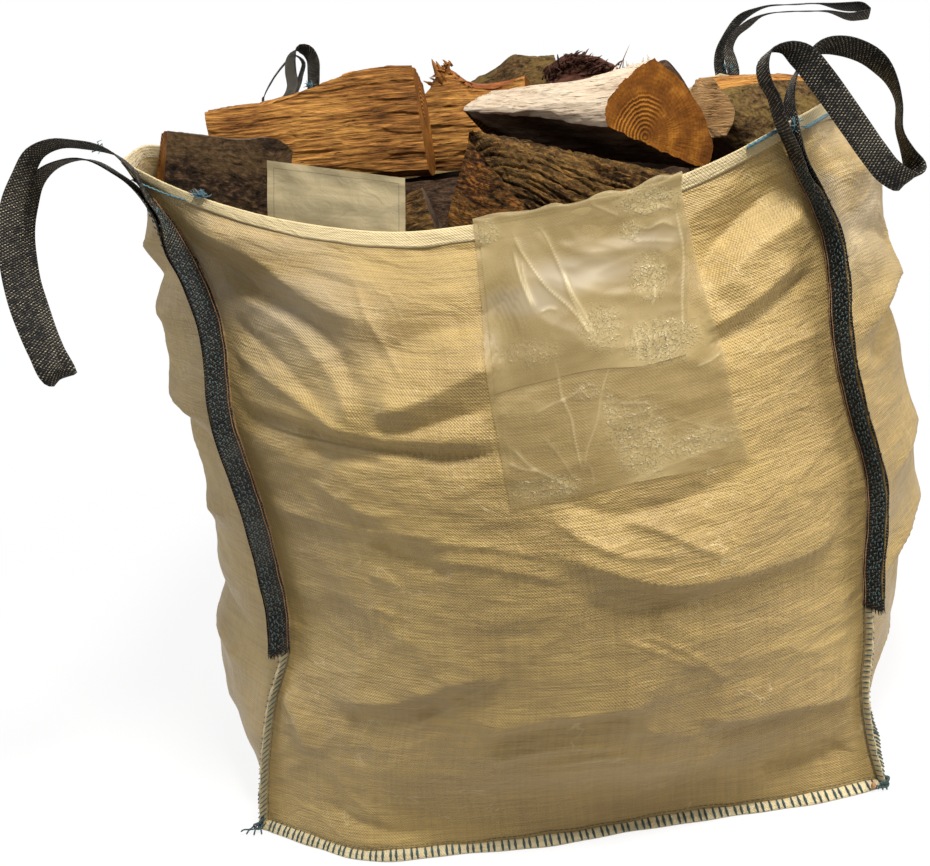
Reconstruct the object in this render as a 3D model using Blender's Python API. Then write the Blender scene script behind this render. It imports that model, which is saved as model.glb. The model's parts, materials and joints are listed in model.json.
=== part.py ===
"""Bulk bag of split firewood, heaped a little above its rim.

The bag is an open-topped cube of woven polypropylene: four side panels and a base. The panels
meet in four corner seams that stand out as fins, and one length of webbing is folded over each
fin, so that its two legs are sewn to the fin and the rest makes a lift loop. A paper label stands
up from the front hem and a film document pouch hangs over it.

Frame: metres, origin in the middle of the flat underside, the front panel faces -Y, +Z is up.
"""

import math

import bpy
import numpy as np

# --- driving dimensions -------------------------------------------------------------------------
FABRIC = 0.0022  # slab that stands for the woven fabric
GAP = 0.0004  # left between touching pieces
ALLOWANCE = 0.018  # seam allowance that stands out along each corner
BASE_FLANGE = 0.011  # seam allowance round the base
WEBBING_WIDTH = 0.034
LEG_INSET = 0.012  # from the seam to the near edge of a strap's leg
TOP_INSET = 0.003  # how much further out a leg lies at its top
WEBBING = 0.0022  # webbing thickness
LEG_CLEARANCE = 0.0044  # between a leg and the fin's fabric
STRAP_BOTTOM = 0.295  # share of the corner's length below the strap's sewn legs
STRAP_TOP = 0.955  # share of the corner's length where the legs leave the bag
LEG_STATIONS = 26  # places along a leg that shape it
STRAP_STATIONS = 110  # rings of the finished strap
PANEL_COLUMNS = 15
PANEL_ROWS = 27

# Shares of a panel's height at which the lists below hold.
SHARES = (0.0, 0.06, 0.16, 0.30, 0.50, 0.68, 0.84, 0.93, 1.0)

# Each corner seam, from the base up to the rim. The contents push the seams about.
CORNERS = {
    "front_left": (
        (-0.457, -0.407, 0.004), (-0.443, -0.410, 0.067), (-0.421, -0.414, 0.150),
        (-0.396, -0.414, 0.225), (-0.364, -0.413, 0.295), (-0.353, -0.412, 0.350),
        (-0.351, -0.412, 0.430), (-0.356, -0.412, 0.536), (-0.367, -0.412, 0.625),
        (-0.370, -0.412, 0.665), (-0.366, -0.412, 0.710), (-0.358, -0.412, 0.770),
        (-0.361, -0.412, 0.830), (-0.373, -0.412, 0.884), (-0.388, -0.416, 0.924),
        (-0.407, -0.422, 0.962), (-0.438, -0.430, 1.026),
    ),
    "front_right": (
        (0.461, -0.425, 0.004), (0.451, -0.420, 0.062), (0.447, -0.414, 0.150),
        (0.457, -0.411, 0.225), (0.460, -0.410, 0.288), (0.463, -0.409, 0.340),
        (0.471, -0.408, 0.404), (0.474, -0.408, 0.466), (0.458, -0.408, 0.554),
        (0.446, -0.408, 0.630), (0.442, -0.408, 0.690), (0.443, -0.408, 0.748),
        (0.438, -0.408, 0.803), (0.425, -0.410, 0.850), (0.410, -0.412, 0.892),
        (0.403, -0.415, 0.922), (0.414, -0.422, 0.955),
    ),
    "back_right": (
        (0.458, 0.415, 0.004), (0.450, 0.420, 0.060), (0.436, 0.420, 0.150),
        (0.425, 0.412, 0.290), (0.425, 0.405, 0.475), (0.420, 0.402, 0.650),
        (0.410, 0.405, 0.810), (0.402, 0.412, 0.900), (0.405, 0.425, 0.965),
    ),
    "back_left": (
        (-0.455, 0.410, 0.004), (-0.446, 0.418, 0.060), (-0.430, 0.420, 0.155),
        (-0.412, 0.414, 0.295), (-0.402, 0.405, 0.490), (-0.405, 0.400, 0.675),
        (-0.398, 0.402, 0.840), (-0.385, 0.410, 0.945), (-0.382, 0.420, 1.025),
    ),
}
OUTWARD = {  # level directions in which a fin stands out: most of the way up, and at the rim
    "front_left": ((-0.70, -0.71), (0.16, -0.99)),
    "front_right": ((0.54, -0.84), (0.40, -0.92)),
    "back_right": ((0.71, 0.71), (0.71, 0.71)),
    "back_left": ((-0.71, 0.71), (-0.71, 0.71)),
}
TWIST_SHARES = (0.86, 0.95)  # shares of the height between which the direction changes

# For each panel: its two corners, seen from outside left to right, how far its middle stands out
# of the chord between them at each share of the height, how square that outline is (2 is a round
# bulge), how far the rim sags at shares across, and how far the foot stands out at shares across.
PANELS = {
    "front_panel": dict(
        ends=("front_left", "front_right"),
        bulge=(0.080, 0.105, 0.142, 0.178, 0.188, 0.165, 0.115, 0.070, 0.040),
        square=(3.2, 2.8, 2.5, 2.2, 2.1, 2.1, 2.1, 2.2, 2.2),
        rim=(
            (0, 0), (0.07, 0.033), (0.16, 0.064), (0.30, 0.095), (0.42, 0.107), (0.50, 0.104),
            (0.65, 0.090), (0.77, 0.072), (0.90, 0.038), (1, 0),
        ),
        foot=(
            (0, 0), (0.10, 0.054), (0.17, 0.088), (0.34, 0.093), (0.50, 0.084), (0.61, 0.065),
            (0.75, 0.046), (0.84, 0.036), (0.92, 0.022), (1, 0),
        ),
    ),
    "right_panel": dict(
        ends=("front_right", "back_right"),
        bulge=(0.026, 0.050, 0.092, 0.140, 0.150, 0.154, 0.152, 0.146, 0.118),
        square=(3.0, 2.8, 2.5, 2.3, 2.3, 2.4, 2.6, 2.8, 2.8),
        rim=(
            (0, 0), (0.10, -0.004), (0.18, 0.010), (0.32, 0.070), (0.50, 0.105), (0.65, 0.100),
            (0.80, 0.062), (0.92, 0.018), (1, 0),
        ),
        foot=((0, 0), (0.20, 0.016), (0.50, 0.026), (0.80, 0.022), (1, 0)),
    ),
    "back_panel": dict(
        ends=("back_right", "back_left"),
        bulge=(0.090, 0.120, 0.150, 0.175, 0.182, 0.165, 0.125, 0.080, 0.045),
        square=(3.0, 2.7, 2.4, 2.2, 2.1, 2.1, 2.1, 2.2, 2.2),
        rim=(
            (0, 0), (0.10, 0.030), (0.30, 0.060), (0.50, 0.070), (0.70, 0.058), (0.90, 0.028),
            (1, 0),
        ),
        foot=((0, 0), (0.15, 0.060), (0.35, 0.088), (0.65, 0.088), (0.85, 0.060), (1, 0)),
    ),
    "left_panel": dict(
        ends=("back_left", "front_left"),
        bulge=(0.085, 0.120, 0.150, 0.174, 0.160, 0.168, 0.150, 0.108, 0.034),
        square=(3.0, 2.9, 2.8, 2.6, 2.5, 2.6, 2.8, 2.6, 2.2),
        rim=(
            (0, 0), (0.15, 0.026), (0.35, 0.045), (0.55, 0.034), (0.72, 0.006), (0.86, -0.008),
            (1, 0),
        ),
        foot=((0, 0), (0.15, 0.045), (0.40, 0.062), (0.70, 0.052), (0.88, 0.026), (1, 0)),
    ),
}
FOOT_REACH = 0.15  # share of the height over which the foot's outline gives way

# The free part of each lift strap: places on its middle line, each with the direction across the
# webbing. It leaves along one face of the fin and comes back along the other.
LOOPS = {
    "front_left_strap": (
        ((-0.417, -0.454, 1.012), (0.12, -0.97, 0.20)),
        ((-0.433, -0.461, 1.038), (0.02, -0.94, 0.34)),
        ((-0.472, -0.470, 1.056), (-0.05, -0.90, 0.43)),
        ((-0.500, -0.475, 1.063), (-0.10, -0.90, 0.42)),
        ((-0.526, -0.478, 1.056), (-0.30, -0.88, 0.36)),
        ((-0.551, -0.480, 1.031), (-0.50, -0.84, 0.20)),
        ((-0.574, -0.481, 0.996), (-0.62, -0.78, 0.05)),
        ((-0.588, -0.481, 0.952), (-0.70, -0.71, 0.00)),
        ((-0.596, -0.481, 0.907), (-0.73, -0.68, -0.05)),
        ((-0.595, -0.481, 0.853), (-0.76, -0.64, -0.10)),
        ((-0.587, -0.481, 0.804), (-0.80, -0.56, -0.20)),
        ((-0.578, -0.477, 0.766), (-0.84, -0.48, -0.25)),
        ((-0.573, -0.464, 0.760), (-0.84, -0.48, -0.25)),
        ((-0.583, -0.458, 0.796), (-0.80, -0.57, -0.20)),
        ((-0.590, -0.455, 0.847), (-0.76, -0.64, -0.10)),
        ((-0.592, -0.454, 0.898), (-0.73, -0.68, -0.05)),
        ((-0.586, -0.452, 0.948), (-0.70, -0.71, 0.00)),
        ((-0.573, -0.448, 0.986), (-0.60, -0.80, 0.00)),
        ((-0.552, -0.445, 1.017), (-0.40, -0.91, 0.10)),
        ((-0.525, -0.441, 1.035), (-0.15, -0.97, 0.18)),
        ((-0.498, -0.439, 1.038), (-0.02, -0.98, 0.18)),
        ((-0.468, -0.438, 1.030), (0.05, -0.99, 0.14)),
        ((-0.440, -0.440, 1.008), (0.12, -0.99, 0.10)),
    ),
    "front_right_strap": (
        ((0.391, -0.450, 0.966), (0.36, -0.93, 0.00)),
        ((0.386, -0.450, 0.986), (0.34, -0.94, 0.05)),
        ((0.378, -0.452, 1.008), (0.36, -0.93, 0.05)),
        ((0.378, -0.452, 1.028), (0.28, -0.95, 0.10)),
        ((0.387, -0.450, 1.041), (0.10, -0.97, 0.20)),
        ((0.406, -0.448, 1.042), (0.25, -0.88, 0.40)),
        ((0.425, -0.444, 1.027), (0.72, -0.40, 0.56)),
        ((0.444, -0.440, 1.001), (0.82, -0.20, 0.53)),
        ((0.464, -0.436, 0.968), (0.84, -0.15, 0.52)),
        ((0.484, -0.432, 0.934), (0.84, -0.12, 0.52)),
        ((0.504, -0.428, 0.900), (0.83, -0.12, 0.54)),
        ((0.523, -0.424, 0.873), (0.80, -0.20, 0.56)),
        ((0.545, -0.418, 0.858), (0.72, -0.40, 0.56)),
        ((0.556, -0.406, 0.868), (0.70, -0.60, 0.30)),
        ((0.549, -0.402, 0.895), (0.30, -0.95, 0.05)),
        ((0.542, -0.400, 0.922), (0.06, -0.99, 0.00)),
        ((0.542, -0.399, 0.954), (0.04, -0.99, 0.05)),
        ((0.536, -0.399, 0.980), (0.20, -0.95, 0.22)),
        ((0.522, -0.400, 1.002), (0.30, -0.78, 0.54)),
        ((0.502, -0.401, 1.020), (0.22, -0.70, 0.68)),
        ((0.480, -0.402, 1.031), (0.10, -0.70, 0.70)),
        ((0.456, -0.403, 1.033), (0.00, -0.82, 0.57)),
        ((0.435, -0.404, 1.024), (-0.10, -0.97, 0.20)),
        ((0.428, -0.409, 1.003), (0.02, -0.99, 0.00)),
        ((0.4265, -0.421, 0.978), (0.22, -0.97, 0.00)),
        ((0.429, -0.436, 0.953), (0.38, -0.93, 0.00)),
    ),
    "back_right_strap": (
        ((0.407, 0.446, 0.985), (0.62, 0.78, 0.00)),
        ((0.412, 0.447, 1.008), (0.55, 0.83, 0.00)),
        ((0.430, 0.447, 1.036), (0.50, 0.85, -0.20)),
        ((0.456, 0.445, 1.058), (0.45, 0.86, -0.30)),
        ((0.486, 0.442, 1.069), (0.20, 0.97, -0.15)),
        ((0.532, 0.436, 1.068), (0.12, 0.99, -0.02)),
        ((0.589, 0.430, 1.061), (0.15, 0.98, -0.05)),
        ((0.640, 0.424, 1.048), (0.05, 0.85, -0.45)),
        ((0.668, 0.421, 1.041), (0.05, 0.83, -0.50)),
        ((0.676, 0.416, 1.032), (0.05, 0.83, -0.50)),
        ((0.652, 0.412, 1.030), (0.05, 0.85, -0.45)),
        ((0.600, 0.420, 1.046), (0.10, 0.98, -0.08)),
        ((0.538, 0.426, 1.055), (0.12, 0.99, -0.02)),
        ((0.488, 0.430, 1.056), (0.20, 0.97, -0.10)),
        ((0.463, 0.433, 1.044), (0.45, 0.87, -0.25)),
        ((0.436, 0.436, 1.028), (0.50, 0.85, -0.15)),
        ((0.425, 0.436, 1.006), (0.60, 0.80, 0.00)),
        ((0.4275, 0.4355, 0.985), (0.68, 0.73, 0.00)),
        ((0.4295, 0.4360, 0.966), (0.71, 0.71, 0.00)),
    ),
    "back_left_strap": (
        ((-0.358, 0.450, 1.058), (-0.80, 0.60, 0.00)),
        ((-0.352, 0.448, 1.082), (-0.80, 0.60, 0.05)),
        ((-0.350, 0.444, 1.105), (-0.80, 0.58, -0.10)),
        ((-0.358, 0.440, 1.123), (-0.75, 0.58, -0.30)),
        ((-0.372, 0.436, 1.128), (-0.60, 0.70, -0.35)),
        ((-0.386, 0.433, 1.115), (-0.70, 0.70, -0.10)),
        ((-0.392, 0.431, 1.090), (-0.78, 0.62, 0.00)),
        ((-0.395, 0.430, 1.062), (-0.78, 0.62, 0.00)),
        ((-0.414, 0.424, 1.038), (-0.60, 0.80, 0.00)),
        ((-0.440, 0.448, 1.022), (-0.30, 0.95, 0.00)),
        ((-0.464, 0.464, 1.042), (-0.20, 0.98, 0.05)),
        ((-0.443, 0.474, 1.075), (-0.20, 0.97, 0.10)),
        ((-0.414, 0.482, 1.104), (-0.20, 0.97, 0.10)),
        ((-0.391, 0.486, 1.116), (-0.30, 0.95, 0.05)),
        ((-0.378, 0.486, 1.102), (-0.40, 0.90, 0.00)),
        ((-0.388, 0.476, 1.072), (-0.45, 0.89, 0.00)),
        ((-0.402, 0.458, 1.045), (-0.60, 0.80, 0.00)),
        ((-0.411, 0.440, 1.021), (-0.70, 0.71, 0.00)),
        ((-0.4095, 0.436, 1.010), (-0.71, 0.71, 0.00)),
    ),
}

# Logs of the heap: middle of the log, compass heading and rise of its axis in degrees, turn about
# its axis in degrees (at 0 the bark faces up), length, width across, depth and kind of section.
HEAP = {
    "log_dark_bark_left": ((-0.325, -0.358, 0.968), 20, -16, 80, 0.165, 0.122, 0.068, "half"),
    "log_orange_split_left": ((-0.224, -0.174, 1.008), 2, 3, -98, 0.304, 0.146, 0.112, "half"),
    "log_splintered_middle": ((-0.097, 0.117, 0.978), -3, 0, -105, 0.312, 0.136, 0.116, "half"),
    "log_pale_on_top": ((0.154, -0.128, 0.986), -50, -2, -20, 0.355, 0.184, 0.128, "half"),
    "log_furrowed_front": ((0.130, -0.350, 0.872), -12, -17, 20, 0.300, 0.140, 0.130, "round"),
    "log_mossy_back": ((0.028, 0.283, 0.975), 4, 2, -12, 0.180, 0.105, 0.110, "half"),
    "log_dark_bark_middle": ((0.224, 0.111, 0.946), 4, 1, 10, 0.204, 0.105, 0.104, "half"),
    "log_olive_bark_right": ((0.396, -0.058, 0.926), 37, -3, 20, 0.182, 0.105, 0.120, "half"),
    "log_orange_right": ((0.418, 0.180, 0.905), 94, 2, -60, 0.260, 0.120, 0.110, "wedge"),
    "log_dark_under_label": ((-0.190, -0.362, 0.835), 2, 14, 10, 0.270, 0.125, 0.120, "round"),
    "log_small_light_brown": ((0.368, -0.305, 0.846), 60, 4, 0, 0.170, 0.088, 0.088, "half"),
    "log_right_low": ((0.395, -0.050, 0.776), 84, 0, 8, 0.290, 0.150, 0.092, "half"),
    "log_right_back_low": ((0.402, 0.236, 0.812), 92, 0, 100, 0.230, 0.110, 0.103, "wedge"),
    "log_centre_low": ((0.172, -0.072, 0.800), 6, 1, 25, 0.250, 0.160, 0.140, "half"),
    "log_middle_low": ((-0.125, -0.005, 0.815), -4, 0, 60, 0.310, 0.160, 0.140, "wedge"),
    "log_left_low": ((-0.398, -0.112, 0.812), 86, 0, -15, 0.310, 0.150, 0.150, "half"),
    "log_left_back_low": ((-0.397, 0.200, 0.830), 92, -1, 170, 0.250, 0.112, 0.112, "wedge"),
    "log_left_side": ((-0.370, 0.050, 0.955), 88, 1, 8, 0.270, 0.135, 0.105, "half"),
    "log_left_back": ((-0.238, 0.272, 0.955), 4, -1, 170, 0.280, 0.130, 0.105, "wedge"),
    "log_torn_dark": ((0.179, 0.246, 0.962), 4, -2, 0, 0.100, 0.074, 0.130, "half"),
    "log_back_left": ((-0.185, 0.392, 0.915), -2, 1, 40, 0.280, 0.090, 0.080, "wedge"),
}

# Logs lower down lie in layers, in rows that run along X and along Y by turns.
LAYER_PITCH = 0.178
LAYER_BOTTOM = 0.094
LAYER_ROWS = ((-0.5, 0.5), (-0.5, 0.5), (-0.5, 0.5))  # places along a row, in log pitches
TOP_LAYER_ROWS = ((), (), (-0.5, 0.5))
LAYERS = 5
ROW_PITCH = 0.270
LOG_PITCH = 0.345
LOG_LENGTH = 0.325
LOG_WIDTH = 0.175
LOG_DEPTH = 0.150
END_PLAY = 0.004  # how far a log may lie from its even place, in metres and degrees
SIDE_PLAY = 0.012
HEADING_PLAY = 4
RISE_PLAY = 1
TURN_PLAY = 8
SIZE_RANGE = (0.90, 1.0)
LENGTH_RANGE = (0.94, 1.0)
HEAP_SEED = 10
LAYER_SEED = 100
LOWER_SEED = 200

CLAY = {
    "fabric": ((0.55, 0.43, 0.25, 1.0), 0.55),
    "webbing": ((0.020, 0.020, 0.022, 1.0), 0.65),
    "film": ((0.75, 0.68, 0.52, 1.0), 0.20),
    "paper": ((0.70, 0.66, 0.55, 1.0), 0.60),
    "bark": ((0.090, 0.062, 0.040, 1.0), 0.90),
    "split_wood": ((0.45, 0.25, 0.10, 1.0), 0.75),
}


def clear_scene():
    for thing in list(bpy.data.objects):
        bpy.data.objects.remove(thing, do_unlink=True)


def material(name):
    """A plain Principled material, made once."""
    found = bpy.data.materials.get(name)
    if found:
        return found
    colour, roughness = CLAY[name]
    made = bpy.data.materials.new(name)
    made.use_nodes = True
    shader = made.node_tree.nodes["Principled BSDF"]
    shader.inputs["Base Color"].default_value = colour
    shader.inputs["Roughness"].default_value = roughness
    shader.inputs["Metallic"].default_value = 0.0
    made.diffuse_color = colour
    return made


def add_object(name, points, faces, finish):
    mesh = bpy.data.meshes.new(name)
    mesh.from_pydata([tuple(map(float, p)) for p in points], [], faces)
    mesh.validate()
    mesh.materials.append(material(finish))
    thing = bpy.data.objects.new(name, mesh)
    bpy.context.scene.collection.objects.link(thing)
    return thing


def unit(v):
    v = np.asarray(v, float)
    return v / np.linalg.norm(v, axis=-1, keepdims=True)


def smooth(where, at, values):
    """Cubic Hermite curve through values, given at the rising numbers at, read at where."""
    at = np.asarray(at, float)
    values = np.asarray(values, float).reshape(len(at), -1)
    slope = np.gradient(values, at, axis=0)
    where = np.clip(np.asarray(where, float), at[0], at[-1])
    i = np.clip(np.searchsorted(at, where, side="right") - 1, 0, len(at) - 2)
    span = (at[i + 1] - at[i])[:, None]
    t = ((where - at[i]) / (at[i + 1] - at[i]))[:, None]
    return (
        (2 * t**3 - 3 * t**2 + 1) * values[i]
        + (t**3 - 2 * t**2 + t) * span * slope[i]
        + (3 * t**2 - 2 * t**3) * values[i + 1]
        + (t**3 - t**2) * span * slope[i + 1]
    )


def ease(value, low, high):
    """0 below low and 1 above high, by 3t^2 - 2t^3 between them."""
    t = np.clip((np.asarray(value, float) - low) / (high - low), 0, 1)
    return t * t * (3 - 2 * t)


def corner_line(corner, shares):
    """Places on a corner seam at shares of its height."""
    points = np.array(CORNERS[corner])
    heights = points[:, 2]
    return smooth(heights[0] + np.asarray(shares) * np.ptp(heights), heights, points)


def diagonal(corner, shares=(0.0,)):
    """The level directions in which a corner's fin stands out at shares of its height."""
    low, high = (np.array((*way, 0.0)) for way in OUTWARD[corner])
    turned = ease(shares, *TWIST_SHARES)[:, None]
    return unit(low * (1 - turned) + high * turned)


# --- bag ------------------------------------------------------------------------------------------
def panel_skin(name, columns, rows):
    """Inner side of a panel as a grid of columns by rows, with the fin's two strips at its ends.

    A row is the chord between its corners plus bulge * (1 - |2u - 1|^square) outwards, which takes
    over from the foot's outline within FOOT_REACH. The rim's sag fades as the cube of the share.
    """
    panel = PANELS[name]
    left, right = panel["ends"]
    shares = np.linspace(0, 1, rows)
    a, b = corner_line(left, shares), corner_line(right, shares)
    bulge = smooth(shares, SHARES, panel["bulge"])[:, 0]
    square = smooth(shares, SHARES, panel["square"])[:, 0]
    chord = unit((b - a) * (1, 1, 0))
    outward = np.cross(chord, (0, 0, 1))
    risen = ease(shares, 0, FOOT_REACH)
    across = (1 - np.cos(np.pi * np.linspace(0, 1, columns))) / 2
    feet = smooth(across, *zip(*panel["foot"]))[:, 0]
    sags = smooth(across, *zip(*panel["rim"]))[:, 0]
    grid = []
    for u, foot, sag in zip(across, feet, sags):
        outline = 1 - abs(2 * u - 1) ** square
        reach = bulge * outline * risen + foot * (1 - risen)
        line = a + (b - a) * u + outward * reach[:, None]
        line[:, 2] -= sag * shares**3
        grid.append(line)
    # The fin's strips lie beside the corner's diagonal plane, on this panel's own side.
    out_a, out_b = diagonal(left, shares), diagonal(right, shares)
    grid[0] = a - np.cross(out_a, (0, 0, 1)) * GAP / 2
    grid[-1] = b + np.cross(out_b, (0, 0, 1)) * GAP / 2
    return np.array([grid[0] + out_a * ALLOWANCE, *grid, grid[-1] + out_b * ALLOWANCE])


def level_normals(grid):
    """Outward level normals of a panel's grid, turned evenly at the fin's root."""
    along = unit((grid[1:] - grid[:-1]) * (1, 1, 0))
    normals = np.cross(along, (0, 0, 1))
    joined = np.concatenate([normals[:1], unit(normals[:-1] + normals[1:]), normals[-1:]])
    lean = np.concatenate([normals[:1], normals])
    reach = 1 / np.clip((joined * lean).sum(-1, keepdims=True), 0.5, 1)
    return joined * reach


def slab_faces(columns, rows):
    """Faces of a closed slab whose outer grid comes first and whose inner grid comes second.

    The first and last strips, where two panels lie back to back, are split along one diagonal.
    """
    count = columns * rows

    def at(i, j, layer):
        return layer * count + i * rows + j

    faces = []
    for i in range(columns - 1):
        for j in range(rows - 1):
            a, b, c, d = at(i, j, 0), at(i + 1, j, 0), at(i + 1, j + 1, 0), at(i, j + 1, 0)
            e, f, g, h = (corner + count for corner in (a, b, c, d))
            if i == columns - 2:
                faces += [(a, b, d), (b, c, d), (e, h, f), (f, h, g)]
            else:
                faces += [(a, b, c), (a, c, d), (e, g, f), (e, h, g)]
        faces.append((at(i, 0, 0), at(i, 0, 1), at(i + 1, 0, 1), at(i + 1, 0, 0)))
        top = rows - 1
        faces.append((at(i, top, 0), at(i + 1, top, 0), at(i + 1, top, 1), at(i, top, 1)))
    for j in range(rows - 1):
        faces.append((at(0, j, 0), at(0, j + 1, 0), at(0, j + 1, 1), at(0, j, 1)))
        last = columns - 1
        faces.append((at(last, j, 0), at(last, j, 1), at(last, j + 1, 1), at(last, j + 1, 0)))
    return faces


def add_panel(name):
    inner = panel_skin(name, PANEL_COLUMNS, PANEL_ROWS)
    outer = inner + level_normals(inner) * FABRIC
    points = np.concatenate([outer.reshape(-1, 3), inner.reshape(-1, 3)])
    return add_object(name, points, slab_faces(len(inner), PANEL_ROWS), "fabric")


def add_base():
    """Flat base: the panels' lower outline plus the seam allowance that shows all round."""
    outline = []
    for name in PANELS:
        grid = panel_skin(name, PANEL_COLUMNS, 2)
        line = grid + level_normals(grid) * (FABRIC + BASE_FLANGE)
        outline.extend(line[2:-2, 0])
        corner = PANELS[name]["ends"][1]
        outline.append(corner_line(corner, [0.0])[0] + diagonal(corner)[0] * ALLOWANCE)
    outline = np.array(outline)
    top = FABRIC
    points = [(x, y, 0.0) for x, y, _ in outline] + [(x, y, top) for x, y, _ in outline]
    n = len(outline)
    faces = [tuple(reversed(range(n))), tuple(range(n, 2 * n))]
    faces += [(i, (i + 1) % n, n + (i + 1) % n, n + i) for i in range(n)]
    return add_object("base_panel", points, faces, "fabric")


# --- straps ---------------------------------------------------------------------------------------
def ribbon(name, middle, across, finish):
    """Closed flat band of the webbing's size along a middle line.

    Its two flat sides are split along the same diagonal, so that it keeps its thickness in a twist.
    """
    along = unit(np.gradient(middle, axis=0))
    across = unit(across - along * (across * along).sum(-1, keepdims=True))
    face = np.cross(along, across)
    w, t = across * WEBBING_WIDTH / 2, face * WEBBING / 2
    rings = np.stack([middle - w - t, middle + w - t, middle + w + t, middle - w + t], 1)
    faces = [(3, 2, 1, 0)]
    for i in range(len(middle) - 1):
        for k in range(4):
            a, b = 4 * i + k, 4 * i + (k + 1) % 4
            c, d = b + 4, a + 4
            faces += [(a, b, c), (a, c, d)] if k == 0 else [(a, b, d), (b, c, d)]
    last = 4 * (len(middle) - 1)
    faces.append((last, last + 1, last + 2, last + 3))
    return add_object(name, rings.reshape(-1, 3), faces, finish)


def strap_line(corner, loop):
    """Middle line and cross direction of a strap: up one face of the fin, round, and down."""
    shares = np.linspace(STRAP_BOTTOM, STRAP_TOP, LEG_STATIONS)
    out = diagonal(corner, shares)
    side = np.cross(out, (0, 0, 1))
    inset = LEG_INSET + TOP_INSET * ease(shares, *TWIST_SHARES)[:, None]
    leg = corner_line(corner, shares) + out * (inset + WEBBING_WIDTH / 2)
    off = side * (LEG_CLEARANCE + FABRIC + WEBBING / 2)
    first = 1 if corner in ("front_left", "back_right") else -1
    middle = np.concatenate([leg - off * first, [p for p, _ in loop], (leg + off * first)[::-1]])
    across = np.concatenate([out, unit([w for _, w in loop]), out[::-1]])
    at = np.concatenate([[0], np.cumsum(np.linalg.norm(np.diff(middle, axis=0), axis=1))])
    where = np.linspace(0, at[-1], STRAP_STATIONS)
    return smooth(where, at, middle), unit(smooth(where, at, across))


# --- label and pouch ------------------------------------------------------------------------------
LABEL_LOW_LEFT, LABEL_LOW_RIGHT = (-0.263, -0.440, 0.908), (-0.086, -0.446, 0.872)
LABEL_TOP_LEFT, LABEL_TOP_RIGHT = (-0.242, -0.452, 1.002), (-0.072, -0.456, 0.955)
LABEL_THICKNESS = 0.001
POUCH_LEFT = (0.012, 0.006)  # X of its left edge, at the bottom and at the hem
POUCH_RIGHT = (0.312, 0.266)
POUCH_BOTTOM = 0.60  # share of the panel's height
POUCH_THICKNESS = 0.0012
POUCH_STANDOFF = 0.005
POUCH_COLUMNS = 8
POUCH_ROWS = 9
SKIN_STEPS = 40  # steps of the fine panel skin that the pouch is laid on


def add_label():
    corners = np.array([LABEL_LOW_LEFT, LABEL_LOW_RIGHT, LABEL_TOP_RIGHT, LABEL_TOP_LEFT])
    back = (0, LABEL_THICKNESS, 0)
    points = np.concatenate([corners, corners + back])
    faces = [(0, 1, 2, 3), (7, 6, 5, 4), (0, 4, 5, 1), (1, 5, 6, 2), (2, 6, 7, 3), (3, 7, 4, 0)]
    return add_object("label", points, faces, "paper")


def add_pouch():
    """Film pouch that hangs down the front from the hem, a little clear of the fabric."""
    columns, rows = POUCH_COLUMNS, POUCH_ROWS
    shares = np.linspace(POUCH_BOTTOM, 1.0, rows)
    skin = panel_skin("front_panel", SKIN_STEPS + 1, SKIN_STEPS + 1)
    out = level_normals(skin)
    outer, inner = np.zeros((columns, rows, 3)), np.zeros((columns, rows, 3))
    for j, share in enumerate(shares):
        row = int(round(share * SKIN_STEPS))
        t = (share - POUCH_BOTTOM) / (1 - POUCH_BOTTOM)
        ends = [edge[0] + (edge[1] - edge[0]) * t for edge in (POUCH_LEFT, POUCH_RIGHT)]
        for i, x in enumerate(np.linspace(*ends, columns)):
            line, push = skin[1:-1, row], out[1:-1, row]
            point = np.array([np.interp(x, line[:, 0], line[:, k]) for k in range(3)])
            away = unit([np.interp(x, line[:, 0], push[:, k]) for k in range(3)])
            inner[i, j] = point + away * (FABRIC + POUCH_STANDOFF)
            outer[i, j] = inner[i, j] + away * POUCH_THICKNESS
    points = np.concatenate([outer.reshape(-1, 3), inner.reshape(-1, 3)])
    return add_object("document_pouch", points, slab_faces(columns, rows), "film")


# --- logs -----------------------------------------------------------------------------------------
LOG_SIDES = 9
LOG_STATIONS = 4  # rings along a log
WEDGE_ANGLE = math.radians(92)  # between a wedge's two split faces
WEDGE_TIP = 0.07  # half the blunt pith edge, in radii
UNEVEN = (-0.05, 0.02)  # of the radius, from point to point of the outline
TAPER = (-0.06, 0.0)  # of the section, from ring to ring
CROOK = (-0.003, 0.003)
END_TILT = (-0.08, 0.08)  # slope of a sawn end


def section(kind, width, depth):
    """Outline of a log's cross-section, anticlockwise, centred, with the bark towards +Y.

    A round log is an oval, a half has one flat split face, and a wedge two that meet at the pith.
    """
    if kind == "round":
        angles = np.arange(LOG_SIDES) * 2 * math.pi / LOG_SIDES
        outline = np.stack([np.cos(angles), np.sin(angles)], 1)
    elif kind == "half":
        angles = np.linspace(0, math.pi, LOG_SIDES)
        outline = np.stack([np.cos(angles), np.sin(angles)], 1)
    else:
        middle = math.pi / 2
        angles = np.linspace(middle - WEDGE_ANGLE / 2, middle + WEDGE_ANGLE / 2, LOG_SIDES - 2)
        arc = np.stack([np.cos(angles), np.sin(angles)], 1)
        outline = np.concatenate([arc, [(-WEDGE_TIP, 0.0), (WEDGE_TIP, 0.0)]])
    low, high = outline.min(0), outline.max(0)
    return (outline - (low + high) / 2) / (high - low) * (width, depth)


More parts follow.
